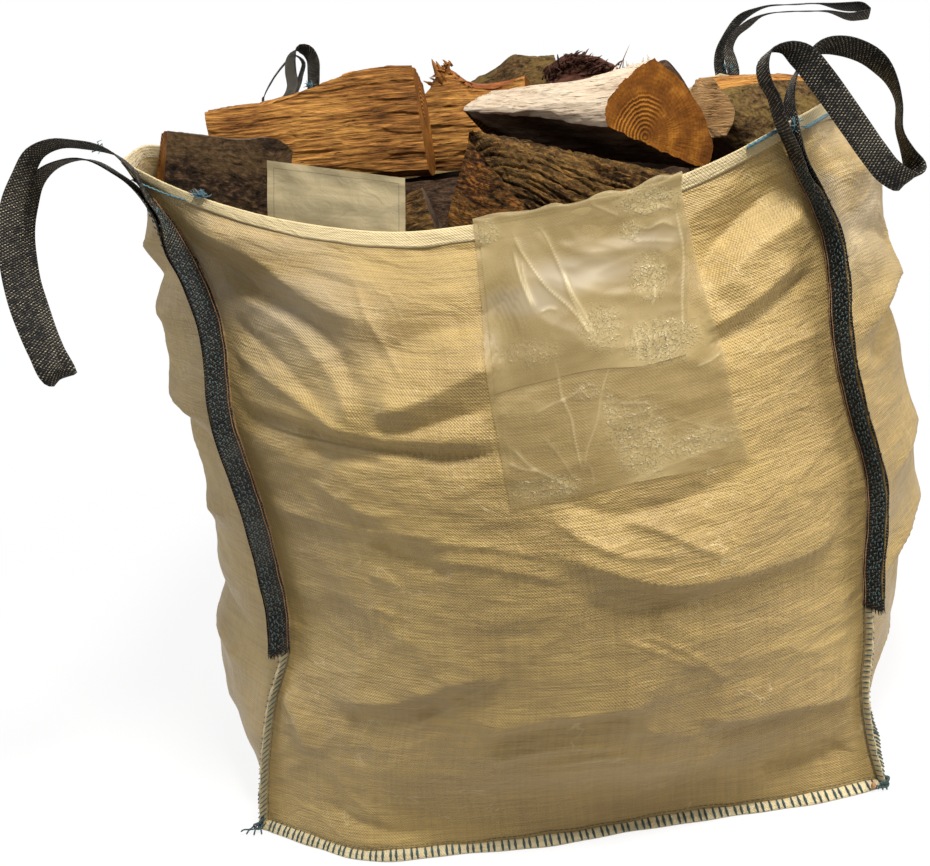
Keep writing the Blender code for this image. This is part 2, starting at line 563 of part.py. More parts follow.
def add_log(name, middle, heading, rise, turn, length, width, depth, kind, seed):
    """A log with slightly uneven ends and a little taper and crook along its length."""
    rng = np.random.default_rng(seed)
    outline = section(kind, width, depth)
    outline = outline * (1 + rng.uniform(*UNEVEN, (len(outline), 1)))
    yaw, pitch, roll = np.radians([heading, rise, turn])
    level = np.array([math.cos(yaw), math.sin(yaw), 0.0])
    along = level * math.cos(pitch) + np.array([0.0, 0.0, math.sin(pitch)])
    side = np.array([-math.sin(yaw), math.cos(yaw), 0.0])
    up = np.cross(along, side)
    across = side * math.cos(roll) + up * math.sin(roll)
    bark = np.cross(along, across)
    taper = 1 + rng.uniform(*TAPER, LOG_STATIONS)
    crook = rng.uniform(*CROOK, (LOG_STATIONS, 2))
    tilt = rng.uniform(*END_TILT, (2, 2))
    slopes = [tilt[0], *[(0, 0)] * (LOG_STATIONS - 2), tilt[1]]
    rings = []
    for i, place in enumerate(np.linspace(-0.5, 0.5, LOG_STATIONS)):
        flat = outline * taper[i] + crook[i]
        shift = place * length + flat @ slopes[i]
        ring = shift[:, None] * along - flat[:, :1] * across + flat[:, 1:] * bark
        rings.append(np.array(middle) + ring)
    n = len(outline)
    last = n * (LOG_STATIONS - 1)
    faces = [tuple(range(n)), tuple(reversed(range(last, last + n)))]
    for i in range(LOG_STATIONS - 1):
        for k in range(n):
            m = (k + 1) % n
            faces.append((n * i + k, n * i + n + k, n * i + n + m, n * i + m))
    finish = "bark" if kind != "wedge" else "split_wood"
    return add_object(name, np.concatenate(rings), faces, finish)


def layer_logs():
    """Places of the lower logs: (name, middle, heading, rise, turn, length, width, depth, kind)."""
    number = 0
    for layer in range(LAYERS):
        rng = np.random.default_rng(LAYER_SEED + layer)
        height = LAYER_BOTTOM + LAYER_PITCH * layer
        rows = TOP_LAYER_ROWS if layer == LAYERS - 1 else LAYER_ROWS
        for row, places in enumerate(rows):
            for place in places:
                number += 1
                along = place * LOG_PITCH + rng.uniform(-END_PLAY, END_PLAY)
                aside = (row - 1) * ROW_PITCH + rng.uniform(-SIDE_PLAY, SIDE_PLAY)
                turned = layer % 2 == 1
                middle = (aside, along, height) if turned else (along, aside, height)
                heading = (90 if turned else 0) + rng.uniform(-HEADING_PLAY, HEADING_PLAY)
                turn = rng.choice([0, 90, 180, 270]) + rng.uniform(-TURN_PLAY, TURN_PLAY)
                kind = ("half", "wedge", "wedge", "round")[number % 4]
                upright = round(turn / 90) % 2 == 1
                width, depth = (LOG_DEPTH, LOG_WIDTH) if upright else (LOG_WIDTH, LOG_DEPTH)
                size = rng.uniform(*SIZE_RANGE)
                yield (
                    f"log_{number:02d}", middle, heading, rng.uniform(-RISE_PLAY, RISE_PLAY), turn,
                    LOG_LENGTH * rng.uniform(*LENGTH_RANGE), width * size, depth * size, kind,
                )


clear_scene()
for panel_name in PANELS:
    add_panel(panel_name)
add_base()
for corner_name in CORNERS:
    strap_name = corner_name + "_strap"
    ribbon(strap_name, *strap_line(corner_name, LOOPS[strap_name]), "webbing")
add_label()
add_pouch()
for index, (log_name, place) in enumerate(HEAP.items()):
    add_log(log_name, *place, seed=HEAP_SEED + index)
for index, place in enumerate(layer_logs()):
    add_log(*place, seed=LOWER_SEED + index)
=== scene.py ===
"""Looks of a woven bulk bag heaped with split firewood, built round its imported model.

The sections follow the bag as it is made: the cloth panels and base, the seams, the lift straps,
the label and the document pouch, and then the logs. Sizes are in metres, and tables that say so
are in millimetres.
"""

import json
import math

import bpy
import numpy as np
from mathutils import Matrix, Vector

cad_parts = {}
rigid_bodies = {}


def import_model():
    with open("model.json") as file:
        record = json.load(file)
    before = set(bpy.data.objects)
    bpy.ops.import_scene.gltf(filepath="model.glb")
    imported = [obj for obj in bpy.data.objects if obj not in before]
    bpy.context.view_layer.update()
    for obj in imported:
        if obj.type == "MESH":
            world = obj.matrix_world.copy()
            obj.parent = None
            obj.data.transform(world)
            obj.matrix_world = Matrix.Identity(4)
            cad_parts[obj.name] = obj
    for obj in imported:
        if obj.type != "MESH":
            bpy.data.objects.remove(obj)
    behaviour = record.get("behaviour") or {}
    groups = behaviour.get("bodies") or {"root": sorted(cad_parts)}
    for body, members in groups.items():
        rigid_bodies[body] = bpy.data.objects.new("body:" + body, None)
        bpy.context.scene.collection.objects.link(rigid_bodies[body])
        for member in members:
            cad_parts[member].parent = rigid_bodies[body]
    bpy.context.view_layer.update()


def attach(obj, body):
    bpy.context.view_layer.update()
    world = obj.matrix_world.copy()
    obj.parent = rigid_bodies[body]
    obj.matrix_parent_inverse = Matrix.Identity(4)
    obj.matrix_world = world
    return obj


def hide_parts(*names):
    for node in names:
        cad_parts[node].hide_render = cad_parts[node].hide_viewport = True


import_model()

# --- camera ---
# A 50 mm lens held just above the rim in front of the bag, a little to its right, and tilted.
CAMERA_PLACE = (0.18, -2.08, 1.13)
CAMERA_LENS = 50
CAMERA_TURN = math.radians(-8.0)
CAMERA_DIP = math.radians(17.5)
CAMERA_ROLL = math.radians(-9.2)


def camera_axes(turn, dip, roll):
    """The camera's right, up and backward directions: a level heading, then the dip, then the roll."""
    ahead = np.array([math.sin(turn) * math.cos(dip), math.cos(turn) * math.cos(dip), -math.sin(dip)])
    level = np.array([math.cos(turn), -math.sin(turn), 0.0])
    above = np.cross(level, ahead)
    right = math.cos(roll) * level + math.sin(roll) * above
    up = math.cos(roll) * above - math.sin(roll) * level
    return right, up, -ahead


camera = bpy.data.objects.new("camera", bpy.data.cameras.new("camera"))
camera.data.lens = CAMERA_LENS
camera.data.sensor_width = 36
camera.data.clip_end = 50
camera.matrix_world = Matrix(np.array(camera_axes(CAMERA_TURN, CAMERA_DIP, CAMERA_ROLL)).T).to_4x4()
camera.location = CAMERA_PLACE
bpy.context.scene.collection.objects.link(camera)
bpy.context.scene.camera = camera

# --- floor and light ---
# A pale studio floor under a white surround, one broad lamp overhead and two weak ones in front.
FLOOR_HALF = 2.6
FLOOR_FADE = (0.95, 2.2)  # distances from the bag between which the floor fades into the surround
FLOOR_GREY = (0.42, 0.4, 0.37, 1.0)
FLOOR_WHITENESS = 0.86  # share of plain white in what the camera sees of the floor
WORLD_STRENGTH = 0.27
LAMPS = (  # name, place, what it points at, size, watts, colour
    ("overhead_lamp", (0.55, -1.4, 3.0), (0.0, -0.2, 0.5), 0.6, 90, (1.0, 0.97, 0.92)),
    ("front_lamp", (1.9, -2.8, 1.7), (0.1, -0.3, 0.5), 1.6, 9, (1.0, 0.96, 0.9)),
    ("left_lamp", (-3.2, -0.3, 1.5), (-0.4, 0.0, 0.6), 1.6, 40, (0.93, 0.95, 1.0)),
    ("right_lamp", (3.0, -0.6, 2.3), (0.3, 0.0, 0.6), 1.4, 70, (1.0, 0.96, 0.9)),
    ("back_lamp", (0.3, 3.0, 2.3), (0.0, 0.2, 0.6), 1.8, 24, (1.0, 0.97, 0.93)),
)


class Field:
    """An output of a node. Arithmetic on fields and numbers adds Math nodes to the same material."""

    def __init__(self, finish, socket):
        self.finish = finish
        self.socket = socket

    def math(self, operation, first, second):
        return self.finish.math(operation, first, second)

    def __add__(self, other):
        return self.math("ADD", self, other)

    def __sub__(self, other):
        return self.math("SUBTRACT", self, other)

    def __rsub__(self, other):
        return self.math("SUBTRACT", other, self)

    def __mul__(self, other):
        return self.math("MULTIPLY", self, other)

    __radd__ = __add__
    __rmul__ = __mul__


class Finish:
    """A material under construction, with the few kinds of node that the finishes here share."""

    def __init__(self, name, **fixed):
        self.material = bpy.data.materials.new(name)
        self.material.use_nodes = True
        self.tree = self.material.node_tree
        self.shader = self.tree.nodes["Principled BSDF"]
        for socket, value in fixed.items():
            self.shader.inputs[socket.replace("_", " ")].default_value = value

    def node(self, kind, settings, values, output=0):
        """Adds a node: its settings first, then the values or fields of its sockets."""
        made = self.tree.nodes.new(kind)
        for setting, value in settings.items():
            if setting == "stops":
                ramp = made.color_ramp
                while len(ramp.elements) < len(value):
                    ramp.elements.new(0.5)
                for element, (place, colour) in zip(ramp.elements, value):
                    element.position = place
                    element.color = (*colour, 1.0)
            else:
                setattr(made, setting, value)
        pairs = values.items() if isinstance(values, dict) else enumerate(values)
        for socket, value in pairs:
            self.give(made.inputs[socket], value)
        return Field(self, made.outputs[output])

    def give(self, socket, value):
        if isinstance(value, Field):
            self.tree.links.new(value.socket, socket)
        elif isinstance(value, tuple) and socket.type == "RGBA" and len(value) == 3:
            socket.default_value = (*value, 1.0)
        else:
            socket.default_value = value

    def set(self, **outputs):
        """Feeds the shader's own sockets, such as Base_Color."""
        for socket, value in outputs.items():
            self.give(self.shader.inputs[socket.replace("_", " ")], value)
        return self.material

    def place(self):
        """Object coordinates."""
        return self.node("ShaderNodeTexCoord", {}, (), "Object")

    def laid(self, stretch=(1, 1, 1), turn=0.0):
        """The piece's own UV map, in metres along the surface, stretched and turned."""
        source = self.node("ShaderNodeUVMap", {"uv_map": "laid"}, ())
        return self.node(
            "ShaderNodeMapping", {}, {"Vector": source, "Scale": stretch, "Rotation": (0, 0, turn)}
        )

    def own(self, name):
        """A number stored on the piece's points."""
        return self.node("ShaderNodeAttribute", {"attribute_name": name}, (), "Fac")

    def math(self, operation, first, second=0.0):
        return self.node("ShaderNodeMath", {"operation": operation}, (first, second))

    def noise(self, where, scale, detail=4.0, roughness=0.55, distortion=0.0):
        return self.node(
            "ShaderNodeTexNoise", {},
            {"Vector": where, "Scale": scale, "Detail": detail, "Roughness": roughness,
             "Distortion": distortion},
        )

    def grain(self, stretch, scale, *rest):
        """Noise on the own UV map, stretched along and across it."""
        return self.noise(self.laid((*stretch, 1)), scale, *rest)

    def between(self, value, low, high, first=0.0, last=1.0):
        """A smooth step from first, where value is low, to last, where it is high."""
        return self.node(
            "ShaderNodeMapRange", {"interpolation_type": "SMOOTHSTEP"},
            {"Value": value, "From Min": low, "From Max": high, "To Min": first, "To Max": last},
        )

    def away(self, value, middle):
        """How far a value is from middle."""
        return self.math("ABSOLUTE", value - middle)

    def ramp(self, value, *stops):
        return self.node("ShaderNodeValToRGB", {"stops": stops}, (value,))

    def mix(self, share, first, second):
        """Colours mixed by share: a Mix node's colour sockets are its inputs 6 and 7."""
        return self.node("ShaderNodeMix", {"data_type": "RGBA"}, {0: share, 6: first, 7: second}, 2)

    def apart(self, vector):
        """A vector's X, Y and Z."""
        return [self.node("ShaderNodeSeparateXYZ", {}, (vector,), k) for k in range(3)]

    def bump(self, height, distance, strength=1.0, under=None):
        values = {"Height": height, "Distance": distance, "Strength": strength}
        if under is not None:
            values["Normal"] = under
        return self.node("ShaderNodeBump", {}, values)


def seen_rays(finish):
    """1 for what the camera, a mirror or a clear sheet shows, and 0 for light that falls on things."""
    rays = [finish.node("ShaderNodeLightPath", {}, (), k) for k in
            ("Is Camera Ray", "Is Glossy Ray", "Is Transmission Ray")]
    return finish.math("MAXIMUM", finish.math("MAXIMUM", rays[0], rays[1]), rays[2])


floor_finish = Finish("floor_paint", Base_Color=FLOOR_GREY, Roughness=0.9)
floor_white = floor_finish.node("ShaderNodeEmission", {}, {"Color": (1.0, 1.0, 1.0), "Strength": 1.0})
floor_bright = floor_finish.node("ShaderNodeBsdfDiffuse", {}, {"Color": (1.0, 1.0, 1.0)})
floor_shown = floor_finish.node("ShaderNodeMixShader", {}, (FLOOR_WHITENESS, floor_bright, floor_white))
floor_plain = Field(floor_finish, floor_finish.shader.outputs[0])
floor_mixed = floor_finish.node(
    "ShaderNodeMixShader", {}, (seen_rays(floor_finish), floor_plain, floor_shown)
)
floor_x, floor_y, _ = floor_finish.apart(floor_finish.place())
floor_reach = floor_finish.math("SQRT", floor_x * floor_x + floor_y * floor_y)
floor_clear = floor_finish.node("ShaderNodeBsdfTransparent", {}, {"Color": (1.0, 1.0, 1.0)})
floor_faded = floor_finish.node(
    "ShaderNodeMixShader", {}, (floor_finish.between(floor_reach, *FLOOR_FADE), floor_mixed, floor_clear)
)
floor_finish.give(floor_finish.tree.nodes["Material Output"].inputs["Surface"], floor_faded)

floor_mesh = bpy.data.meshes.new("floor")
floor_corners = [(-1, -1), (1, -1), (1, 1), (-1, 1)]
floor_mesh.from_pydata([(x * FLOOR_HALF, y * FLOOR_HALF, 0.0) for x, y in floor_corners], [], [(0, 1, 2, 3)])
floor_mesh.materials.append(floor_finish.material)
floor = bpy.data.objects.new("floor", floor_mesh)
bpy.context.scene.collection.objects.link(floor)

world = bpy.data.worlds.new("surround")
world.use_nodes = True
bpy.context.scene.world = world
surround = world.node_tree
path = surround.nodes.new("ShaderNodeLightPath")
level = surround.nodes.new("ShaderNodeMapRange")
glow = surround.nodes["Background"]
surround.links.new(path.outputs["Is Camera Ray"], level.inputs["Value"])
level.inputs["To Min"].default_value = WORLD_STRENGTH
level.inputs["To Max"].default_value = 1.0
surround.links.new(level.outputs[0], glow.inputs["Strength"])
glow.inputs["Color"].default_value = (1.0, 1.0, 1.0, 1.0)

for lamp_name, place, target, size, watts, colour in LAMPS:
    lamp = bpy.data.lights.new(lamp_name, "AREA")
    lamp.shape = "DISK"
    lamp.size = size
    lamp.energy = watts
    lamp.color = colour
    holder = bpy.data.objects.new(lamp_name, lamp)
    holder.location = place
    toward = Vector(target) - Vector(place)
    holder.rotation_euler = toward.to_track_quat("-Z", "Y").to_euler()
    bpy.context.scene.collection.objects.link(holder)

bpy.context.scene.view_settings.view_transform = "Standard"

# --- side panels ---
# Four panels of woven polypropylene tape, pushed out by the logs between the corner seams. Their
# edges stand out as fins, sewn face to face along each corner.
CORNERS = {  # places along each seam from the foot up, in millimetres
    "front_left": (
        (-457, -407, 4), (-443, -410, 67), (-421, -414, 150), (-396, -414, 225), (-364, -413, 295),
        (-353, -412, 350), (-351, -412, 430), (-356, -412, 536), (-367, -412, 625), (-370, -412, 665),
        (-366, -412, 710), (-358, -412, 770), (-361, -412, 830), (-373, -412, 884), (-388, -416, 924),
        (-407, -422, 962), (-438, -430, 1026),
    ),
    "front_right": (
        (461, -425, 4), (451, -420, 62), (447, -414, 150), (457, -411, 225), (460, -410, 288),
        (463, -409, 340), (471, -408, 404), (474, -408, 466), (458, -408, 554), (446, -408, 630),
        (442, -408, 690), (443, -408, 748), (438, -408, 803), (425, -410, 850), (410, -412, 892),
        (403, -415, 922), (414, -422, 955),
    ),
    "back_right": (
        (458, 415, 4), (450, 420, 60), (436, 420, 150), (425, 412, 290), (425, 405, 475),
        (420, 402, 650), (410, 405, 810), (402, 412, 900), (405, 425, 965),
    ),
    "back_left": (
        (-455, 410, 4), (-446, 418, 60), (-430, 420, 155), (-412, 414, 295), (-402, 405, 490),
        (-405, 400, 675), (-398, 402, 840), (-385, 410, 945), (-382, 420, 1025),
    ),
}
OUTWARD = {  # level directions of a fin: most of the way up, and at the rim
    "front_left": ((-0.7, -0.71), (0.16, -0.99)),
    "front_right": ((0.54, -0.84), (0.4, -0.92)),
    "back_right": ((0.71, 0.71), (0.71, 0.71)),
    "back_left": ((-0.71, 0.71), (-0.71, 0.71)),
}
TWIST_SHARES = (0.86, 0.95)  # where the direction changes
SHARES = (0.0, 0.06, 0.16, 0.3, 0.5, 0.68, 0.84, 0.93, 1.0)  # of the height, for the panels' bulge
# Corners from left to right as seen outside, how far the middle stands out at each share of the
# height, how square that outline is, how far the rim sags at shares across, how far the foot stands
# out at shares across, and the grid's columns and rows. The distances are in millimetres.
PANELS = {
    "front_panel": dict(
        ends=("front_left", "front_right"),
        bulge=(80, 105, 142, 178, 188, 165, 115, 70, 40),
        square=(3.2, 2.8, 2.5, 2.2, 2.1, 2.1, 2.1, 2.2, 2.2),
        rim=((0, 0), (0.07, 33), (0.16, 64), (0.3, 95), (0.42, 107), (0.5, 104), (0.65, 90), (0.77, 72),
             (0.9, 38), (1, 0)),
        foot=((0, 0), (0.1, 54), (0.17, 88), (0.34, 93), (0.5, 84), (0.61, 65), (0.75, 46), (0.84, 36),
              (0.92, 22), (1, 0)),
        grid=(264, 272),
    ),
    "right_panel": dict(
        ends=("front_right", "back_right"),
        bulge=(26, 50, 92, 140, 150, 154, 152, 146, 118),
        square=(3.0, 2.8, 2.5, 2.3, 2.3, 2.4, 2.6, 2.8, 2.8),
        rim=((0, 0), (0.1, -4), (0.18, 10), (0.32, 70), (0.5, 105), (0.65, 100), (0.8, 62), (0.92, 18),
             (1, 0)),
        foot=((0, 0), (0.2, 16), (0.5, 26), (0.8, 22), (1, 0)),
        grid=(160, 170),
    ),
    "back_panel": dict(
        ends=("back_right", "back_left"),
        bulge=(90, 120, 150, 175, 182, 165, 125, 80, 45),
        square=(3.0, 2.7, 2.4, 2.2, 2.1, 2.1, 2.1, 2.2, 2.2),
        rim=((0, 0), (0.1, 30), (0.3, 60), (0.5, 70), (0.7, 58), (0.9, 28), (1, 0)),
        foot=((0, 0), (0.15, 60), (0.35, 88), (0.65, 88), (0.85, 60), (1, 0)),
        grid=(140, 140),
    ),
    "left_panel": dict(
        ends=("back_left", "front_left"),
        bulge=(85, 120, 150, 174, 160, 168, 150, 108, 34),
        square=(3.0, 2.9, 2.8, 2.6, 2.5, 2.6, 2.8, 2.6, 2.2),
        rim=((0, 0), (0.15, 26), (0.35, 45), (0.55, 34), (0.72, 6), (0.86, -8), (1, 0)),
        foot=((0, 0), (0.15, 45), (0.4, 62), (0.7, 52), (0.88, 26), (1, 0)),
        grid=(160, 170),
    ),
}
FOOT_REACH = 0.15  # share of the height over which the foot's outline gives way
FIN_NARROW = 0.015  # seam allowance below the straps
FIN_WIDE = 0.035  # and between their legs
FIN_SHARES = (0.285, 0.315)  # where it widens, as shares of the height
FIN_TOP = (0.9, 0.97)  # and where it narrows toward the rim
FIN_RIM = 0.006  # its width at the rim
FIN_GAP = 0.0012  # from the middle of a fin to each of its two layers
FIN_STEPS = (1.0, 0.72, 0.44, 0.18)  # the grid's columns on a fin, as shares of its width
FIN_FLUTTER = 0.0006
PINNED_ACROSS = 0.035  # shares of the width and height over which folds die away at the seams
PINNED_UP = 0.05
STIFF_RIM = (0.955, 0.985)  # shares of the height between which the folds fade toward the hem
STIFFNESS = 0.75
CLOTH_GOLD = (0.5, 0.352, 0.122)
CLOTH_SHADE = (0.3, 0.202, 0.076)
# grey of the painted sheen in the cloth's upper left part
PAINTED_SHEEN_GREY = (0.47, 0.41, 0.33)
CLOTH_HAIRLINE = (0.7, 0.57, 0.33)
TAPE_PITCH = 0.0042  # from one woven tape to the next
UPWARD = np.array((0, 0, 1))

# Folds of each panel, in millimetres: level places and heights along the fold, how far it stands
# out, and its width above and below. They run from left to right.
FOLDS = {
    "front_panel": (
        # gathered from the upper left corner
        ((-380, 950, -285, 890, -200, 815, -110, 778), 13, 34, 22),
        ((-375, 905, -310, 848, -215, 788, -160, 690), -12, 22, 28),
        ((-345, 845, -245, 785, -195, 715, -168, 640), 8, 20, 14),
        ((-355, 812, -270, 740, -195, 660), -6, 14, 18),
        ((-360, 768, -250, 696, -172, 640), 8, 22, 12),
        # the long crease across the left half and the small one under it
        ((-380, 678, -255, 657, -170, 636, -45, 620, 40, 622), -10, 8, 20),
        ((-360, 690, -255, 672, -170, 652, -50, 640, 30, 640), 6, 22, 10),
        ((-275, 632, -230, 625, -140, 612), -5, 6, 12),
        # the pinch and its ridge
        ((-160, 680, -120, 681, -75, 692, -30, 708, 30, 728), 13, 32, 14),
        ((-165, 660, -110, 655, -65, 664, 20, 682), -9, 12, 18),
        ((-160, 715, -120, 755, -25, 778, 60, 800), -10, 30, 34),
        ((-155, 848, -135, 780, -95, 700), 2.2, 4, 4),
        ((-80, 866, -15, 860, 30, 856), -3, 5, 6),
        # gathered from the upper right corner
        ((275, 765, 295, 812, 355, 855, 420, 893), -15, 26, 20),
        ((225, 800, 270, 850, 350, 895), 6, 30, 20),
        ((290, 755, 345, 805, 400, 828, 435, 850), 11, 18, 30),
        ((270, 722, 330, 742, 405, 782), 8, 26, 8),
        ((270, 700, 310, 715, 390, 746, 430, 768), -8, 8, 22),
        ((350, 675, 395, 680, 425, 684), 2.5, 5, 4),
        # the fold under the pouch, out to the right seam
        ((30, 500, 100, 470, 180, 430, 310, 410, 400, 408, 455, 440), 12, 55, 16),
        ((120, 440, 180, 408, 310, 388, 410, 385), -8, 12, 26),
        ((55, 535, 105, 497, 155, 472, 225, 463), 4.5, 10, 6),
        ((140, 520, 185, 500, 235, 465, 275, 440), 4.5, 10, 6),
        ((60, 560, 120, 532, 245, 528, 330, 540), -7, 16, 16),
        ((85, 415, 135, 393, 190, 380), -6, 18, 24),
        # faint crossing creases in the middle
        ((115, 365, 165, 332, 235, 283), 2.2, 4, 4),
        ((150, 360, 215, 312, 258, 255), 2.2, 4, 4),
        ((-115, 512, 0, 497, 60, 480), 3, 10, 5),
        ((-115, 482, -50, 480, 80, 445), 3, 12, 5),
        ((-255, 585, -210, 562, -175, 548, -130, 550), 5, 16, 10),
        ((-365, 532, -260, 524, -165, 519, -50, 520), 4, 20, 6),
        ((-185, 512, -140, 485, -70, 460), -5, 14, 20),
        ((-198, 456, -150, 448), 2.5, 6, 5),
        ((-200, 412, -165, 398), 2.5, 6, 5),
        # broad rolls low down
        ((-300, 248, -180, 272, -115, 300, -20, 332), 9, 34, 16),
        ((-290, 225, -180, 246, -100, 270), -6, 12, 24),
        ((-185, 215, -100, 274, -15, 335), 2.5, 4, 4),
        ((-90, 226, 20, 246, 105, 252, 175, 258), 8, 26, 10),
        ((-80, 208, 30, 224, 150, 234), -5, 10, 20),
        ((200, 205, 270, 187, 335, 180, 400, 162, 450, 150), 9, 40, 14),
        ((210, 185, 335, 158, 440, 128), -6, 12, 24),
        ((155, 105, 195, 124, 240, 138), 3, 6, 5),
        ((-90, 170, 25, 189, 120, 180), 3.5, 9, 6),
        ((-10, 158, 65, 165, 125, 165), 2.8, 5, 5),
        ((110, 82, 150, 71, 180, 70), 3, 6, 5),
        ((-385, 240, -360, 205, -345, 150), 8, 30, 20),
        ((280, 68, 345, 62, 430, 75), -10, 18, 22),
        ((-350, 85, -290, 50, -180, 35), -6, 14, 18),
        # fold memory: faint upright lines
        ((-212, 500, -245, 260, -275, 60), 1.4, 3, 3),
        ((160, 420, 140, 350, 115, 150), 1, 3, 3),
    ),
    "right_panel": (
        ((-400, 880, -250, 850, -100, 800, 50, 770), 12, 30, 22),
        ((-390, 800, -250, 770, -120, 720), -10, 20, 26),
        ((-380, 640, -200, 690, -60, 660, 120, 700), 15, 34, 16),
        ((-350, 600, -160, 655, -30, 615, 100, 640), -14, 14, 26),
        ((-380, 430, -200, 460, -50, 440, 150, 470), 9, 30, 16),
        ((-380, 290, -200, 345, -60, 330, 150, 350), 14, 30, 18),
        ((-360, 250, -200, 290, 0, 270, 160, 290), -10, 14, 26),
        ((-380, 150, -200, 165, 50, 150, 300, 190), 8, 26, 14),
        ((100, 560, 250, 520, 390, 540), 12, 30, 18),
        ((120, 840, 260, 800, 390, 850), -10, 24, 24),
        ((150, 400, 280, 370, 390, 390), 8, 24, 14),
    ),
    "left_panel": (
        ((-60, 840, -200, 880, -330, 915, -400, 950), 12, 20, 16),
        ((-50, 800, -200, 838, -340, 870), -12, 16, 20),
        ((-50, 740, -200, 780, -350, 800), 8, 26, 20),
        ((100, 640, -50, 625, -200, 620, -390, 600), -12, 14, 26),
        ((100, 680, -60, 662, -210, 655, -380, 640), 10, 30, 14),
        ((150, 480, -50, 470, -200, 465, -380, 500), 9, 26, 16),
        ((100, 340, -50, 300, -200, 330, -370, 300), -9, 18, 26),
        ((100, 250, -50, 245, -200, 255, -380, 230), 8, 24, 16),
        ((100, 150, -100, 160, -250, 140, -380, 130), -7, 18, 22),
        ((380, 870, 260, 820, 150, 780), -10, 24, 24),
        ((390, 560, 260, 540, 120, 575), 11, 30, 18),
        ((390, 300, 250, 330, 100, 310), 8, 24, 16),
    ),
    "back_panel": (
        ((390, 880, 250, 850, 100, 800), 11, 28, 20),
        ((380, 820, 250, 780, 80, 740), -10, 20, 26),
        ((400, 640, 200, 610, 0, 640, -150, 600), 11, 34, 16),
        ((300, 580, 120, 560, -50, 590), -8, 14, 26),
        ((350, 430, 150, 460, -50, 440, -300, 480), 8, 30, 16),
        ((300, 270, 100, 240, -100, 260, -350, 230), 9, 32, 16),
        ((380, 140, 150, 160, -50, 140, -300, 120), -7, 18, 24),
        ((-80, 850, -220, 880, -370, 940), 12, 28, 20),
        ((-100, 800, -240, 820, -370, 880), -11, 20, 24),
        ((-150, 700, -280, 720, -380, 760), 8, 24, 16),
        ((-120, 380, -260, 350, -380, 370), 7, 24, 14),
    ),
}
FOLD_STRENGTH = 1.2  # every fold stands out this much more than listed
CRUMPLE = ((5.0, 0.0046), (11.0, 0.0026), (24.0, 0.0012))  # waves per metre and height of each layer


def unit(vectors):
    return vectors / np.linalg.norm(vectors, axis=-1, keepdims=True)


def travelled(points, axis=0):
    """Distance from the first point to each one, summed along a line or along a grid's lines."""
    first = np.take(points, [0], axis)
    return np.cumsum(np.linalg.norm(np.diff(points, axis=axis, prepend=first), axis=-1), axis=axis)


def read_line(where, at, line):
    """Places on a line whose points lie at the rising numbers at, read at where by straight steps."""
    return np.stack([np.interp(where, at, line[:, k]) for k in range(3)], 1)


def laid_flat(run, across):
    """Places on the flat stuff: run along it for each column, and across it for each row."""
    return np.stack(np.broadcast_arrays(run[:, None], across), -1)


def smooth(where, at, values):
    """Cubic Hermite curve through values, given at the rising numbers at, read at where."""
    at = np.asarray(at, float)
    values = np.asarray(values, float).reshape(len(at), -1)
    slope = np.gradient(values, at, axis=0)
    where = np.clip(np.asarray(where, float), at[0], at[-1])
    i = np.clip(np.searchsorted(at, where, side="right") - 1, 0, len(at) - 2)
    span = (at[i + 1] - at[i])[:, None]
    t = ((where - at[i]) / (at[i + 1] - at[i]))[:, None]
    return (
        (2 * t**3 - 3 * t**2 + 1) * values[i]
        + (t**3 - 2 * t**2 + t) * span * slope[i]
        + (3 * t**2 - 2 * t**3) * values[i + 1]
        + (t**3 - t**2) * span * slope[i + 1]
    )


def along(points, count):
    """A curve through points, at count even distances along it."""
    at = travelled(points)
    return smooth(np.linspace(0, at[-1], count), at, points)


def ease(value, low, high):
    """0 below low and 1 above high, by 3t^2 - 2t^3 between them."""
    t = np.clip((value - low) / (high - low), 0, 1)
    return t * t * (3 - 2 * t)


def drift(x, y, seed):
    """Smooth lattice noise from -1 to 1: a random slope at each whole place, faded by 6t^5-15t^4+10t^3."""
    angles = np.random.default_rng(seed).uniform(0, 2 * np.pi, (64, 64))
    column, row = np.floor(x).astype(int), np.floor(y).astype(int)
    across, up = x - column, y - row
    fades = [t**3 * (t * (t * 6 - 15) + 10) for t in (across, up)]
    total = np.zeros_like(across)
    for i in (0, 1):
        for j in (0, 1):
            angle = angles[(column + i) % 64, (row + j) % 64]
            share = (fades[0] if i else 1 - fades[0]) * (fades[1] if j else 1 - fades[1])
            total += share * ((across - i) * np.cos(angle) + (up - j) * np.sin(angle))
    return total * 1.5


def ridged(x, y, seed):
    """Sharp crests where the noise crosses nought: 1 - |noise|, squared, about a mean of nought."""
    return (1 - np.abs(drift(x, y, seed))) ** 2 - 0.62


def corner_line(corner, shares):
    """Places on a corner seam at shares of its height."""
    points = np.array(CORNERS[corner]) / 1000
    heights = points[:, 2]
    return smooth(heights[0] + np.asarray(shares) * (heights[-1] - heights[0]), heights, points)


def diagonal(corner, shares=(0.0,)):
    """The level directions in which a corner's fin stands out at shares of its height."""
    low, high = (np.array((*way, 0.0)) for way in OUTWARD[corner])
    turned = ease(np.asarray(shares, float), *TWIST_SHARES)[:, None]
    return unit(low * (1 - turned) + high * turned)


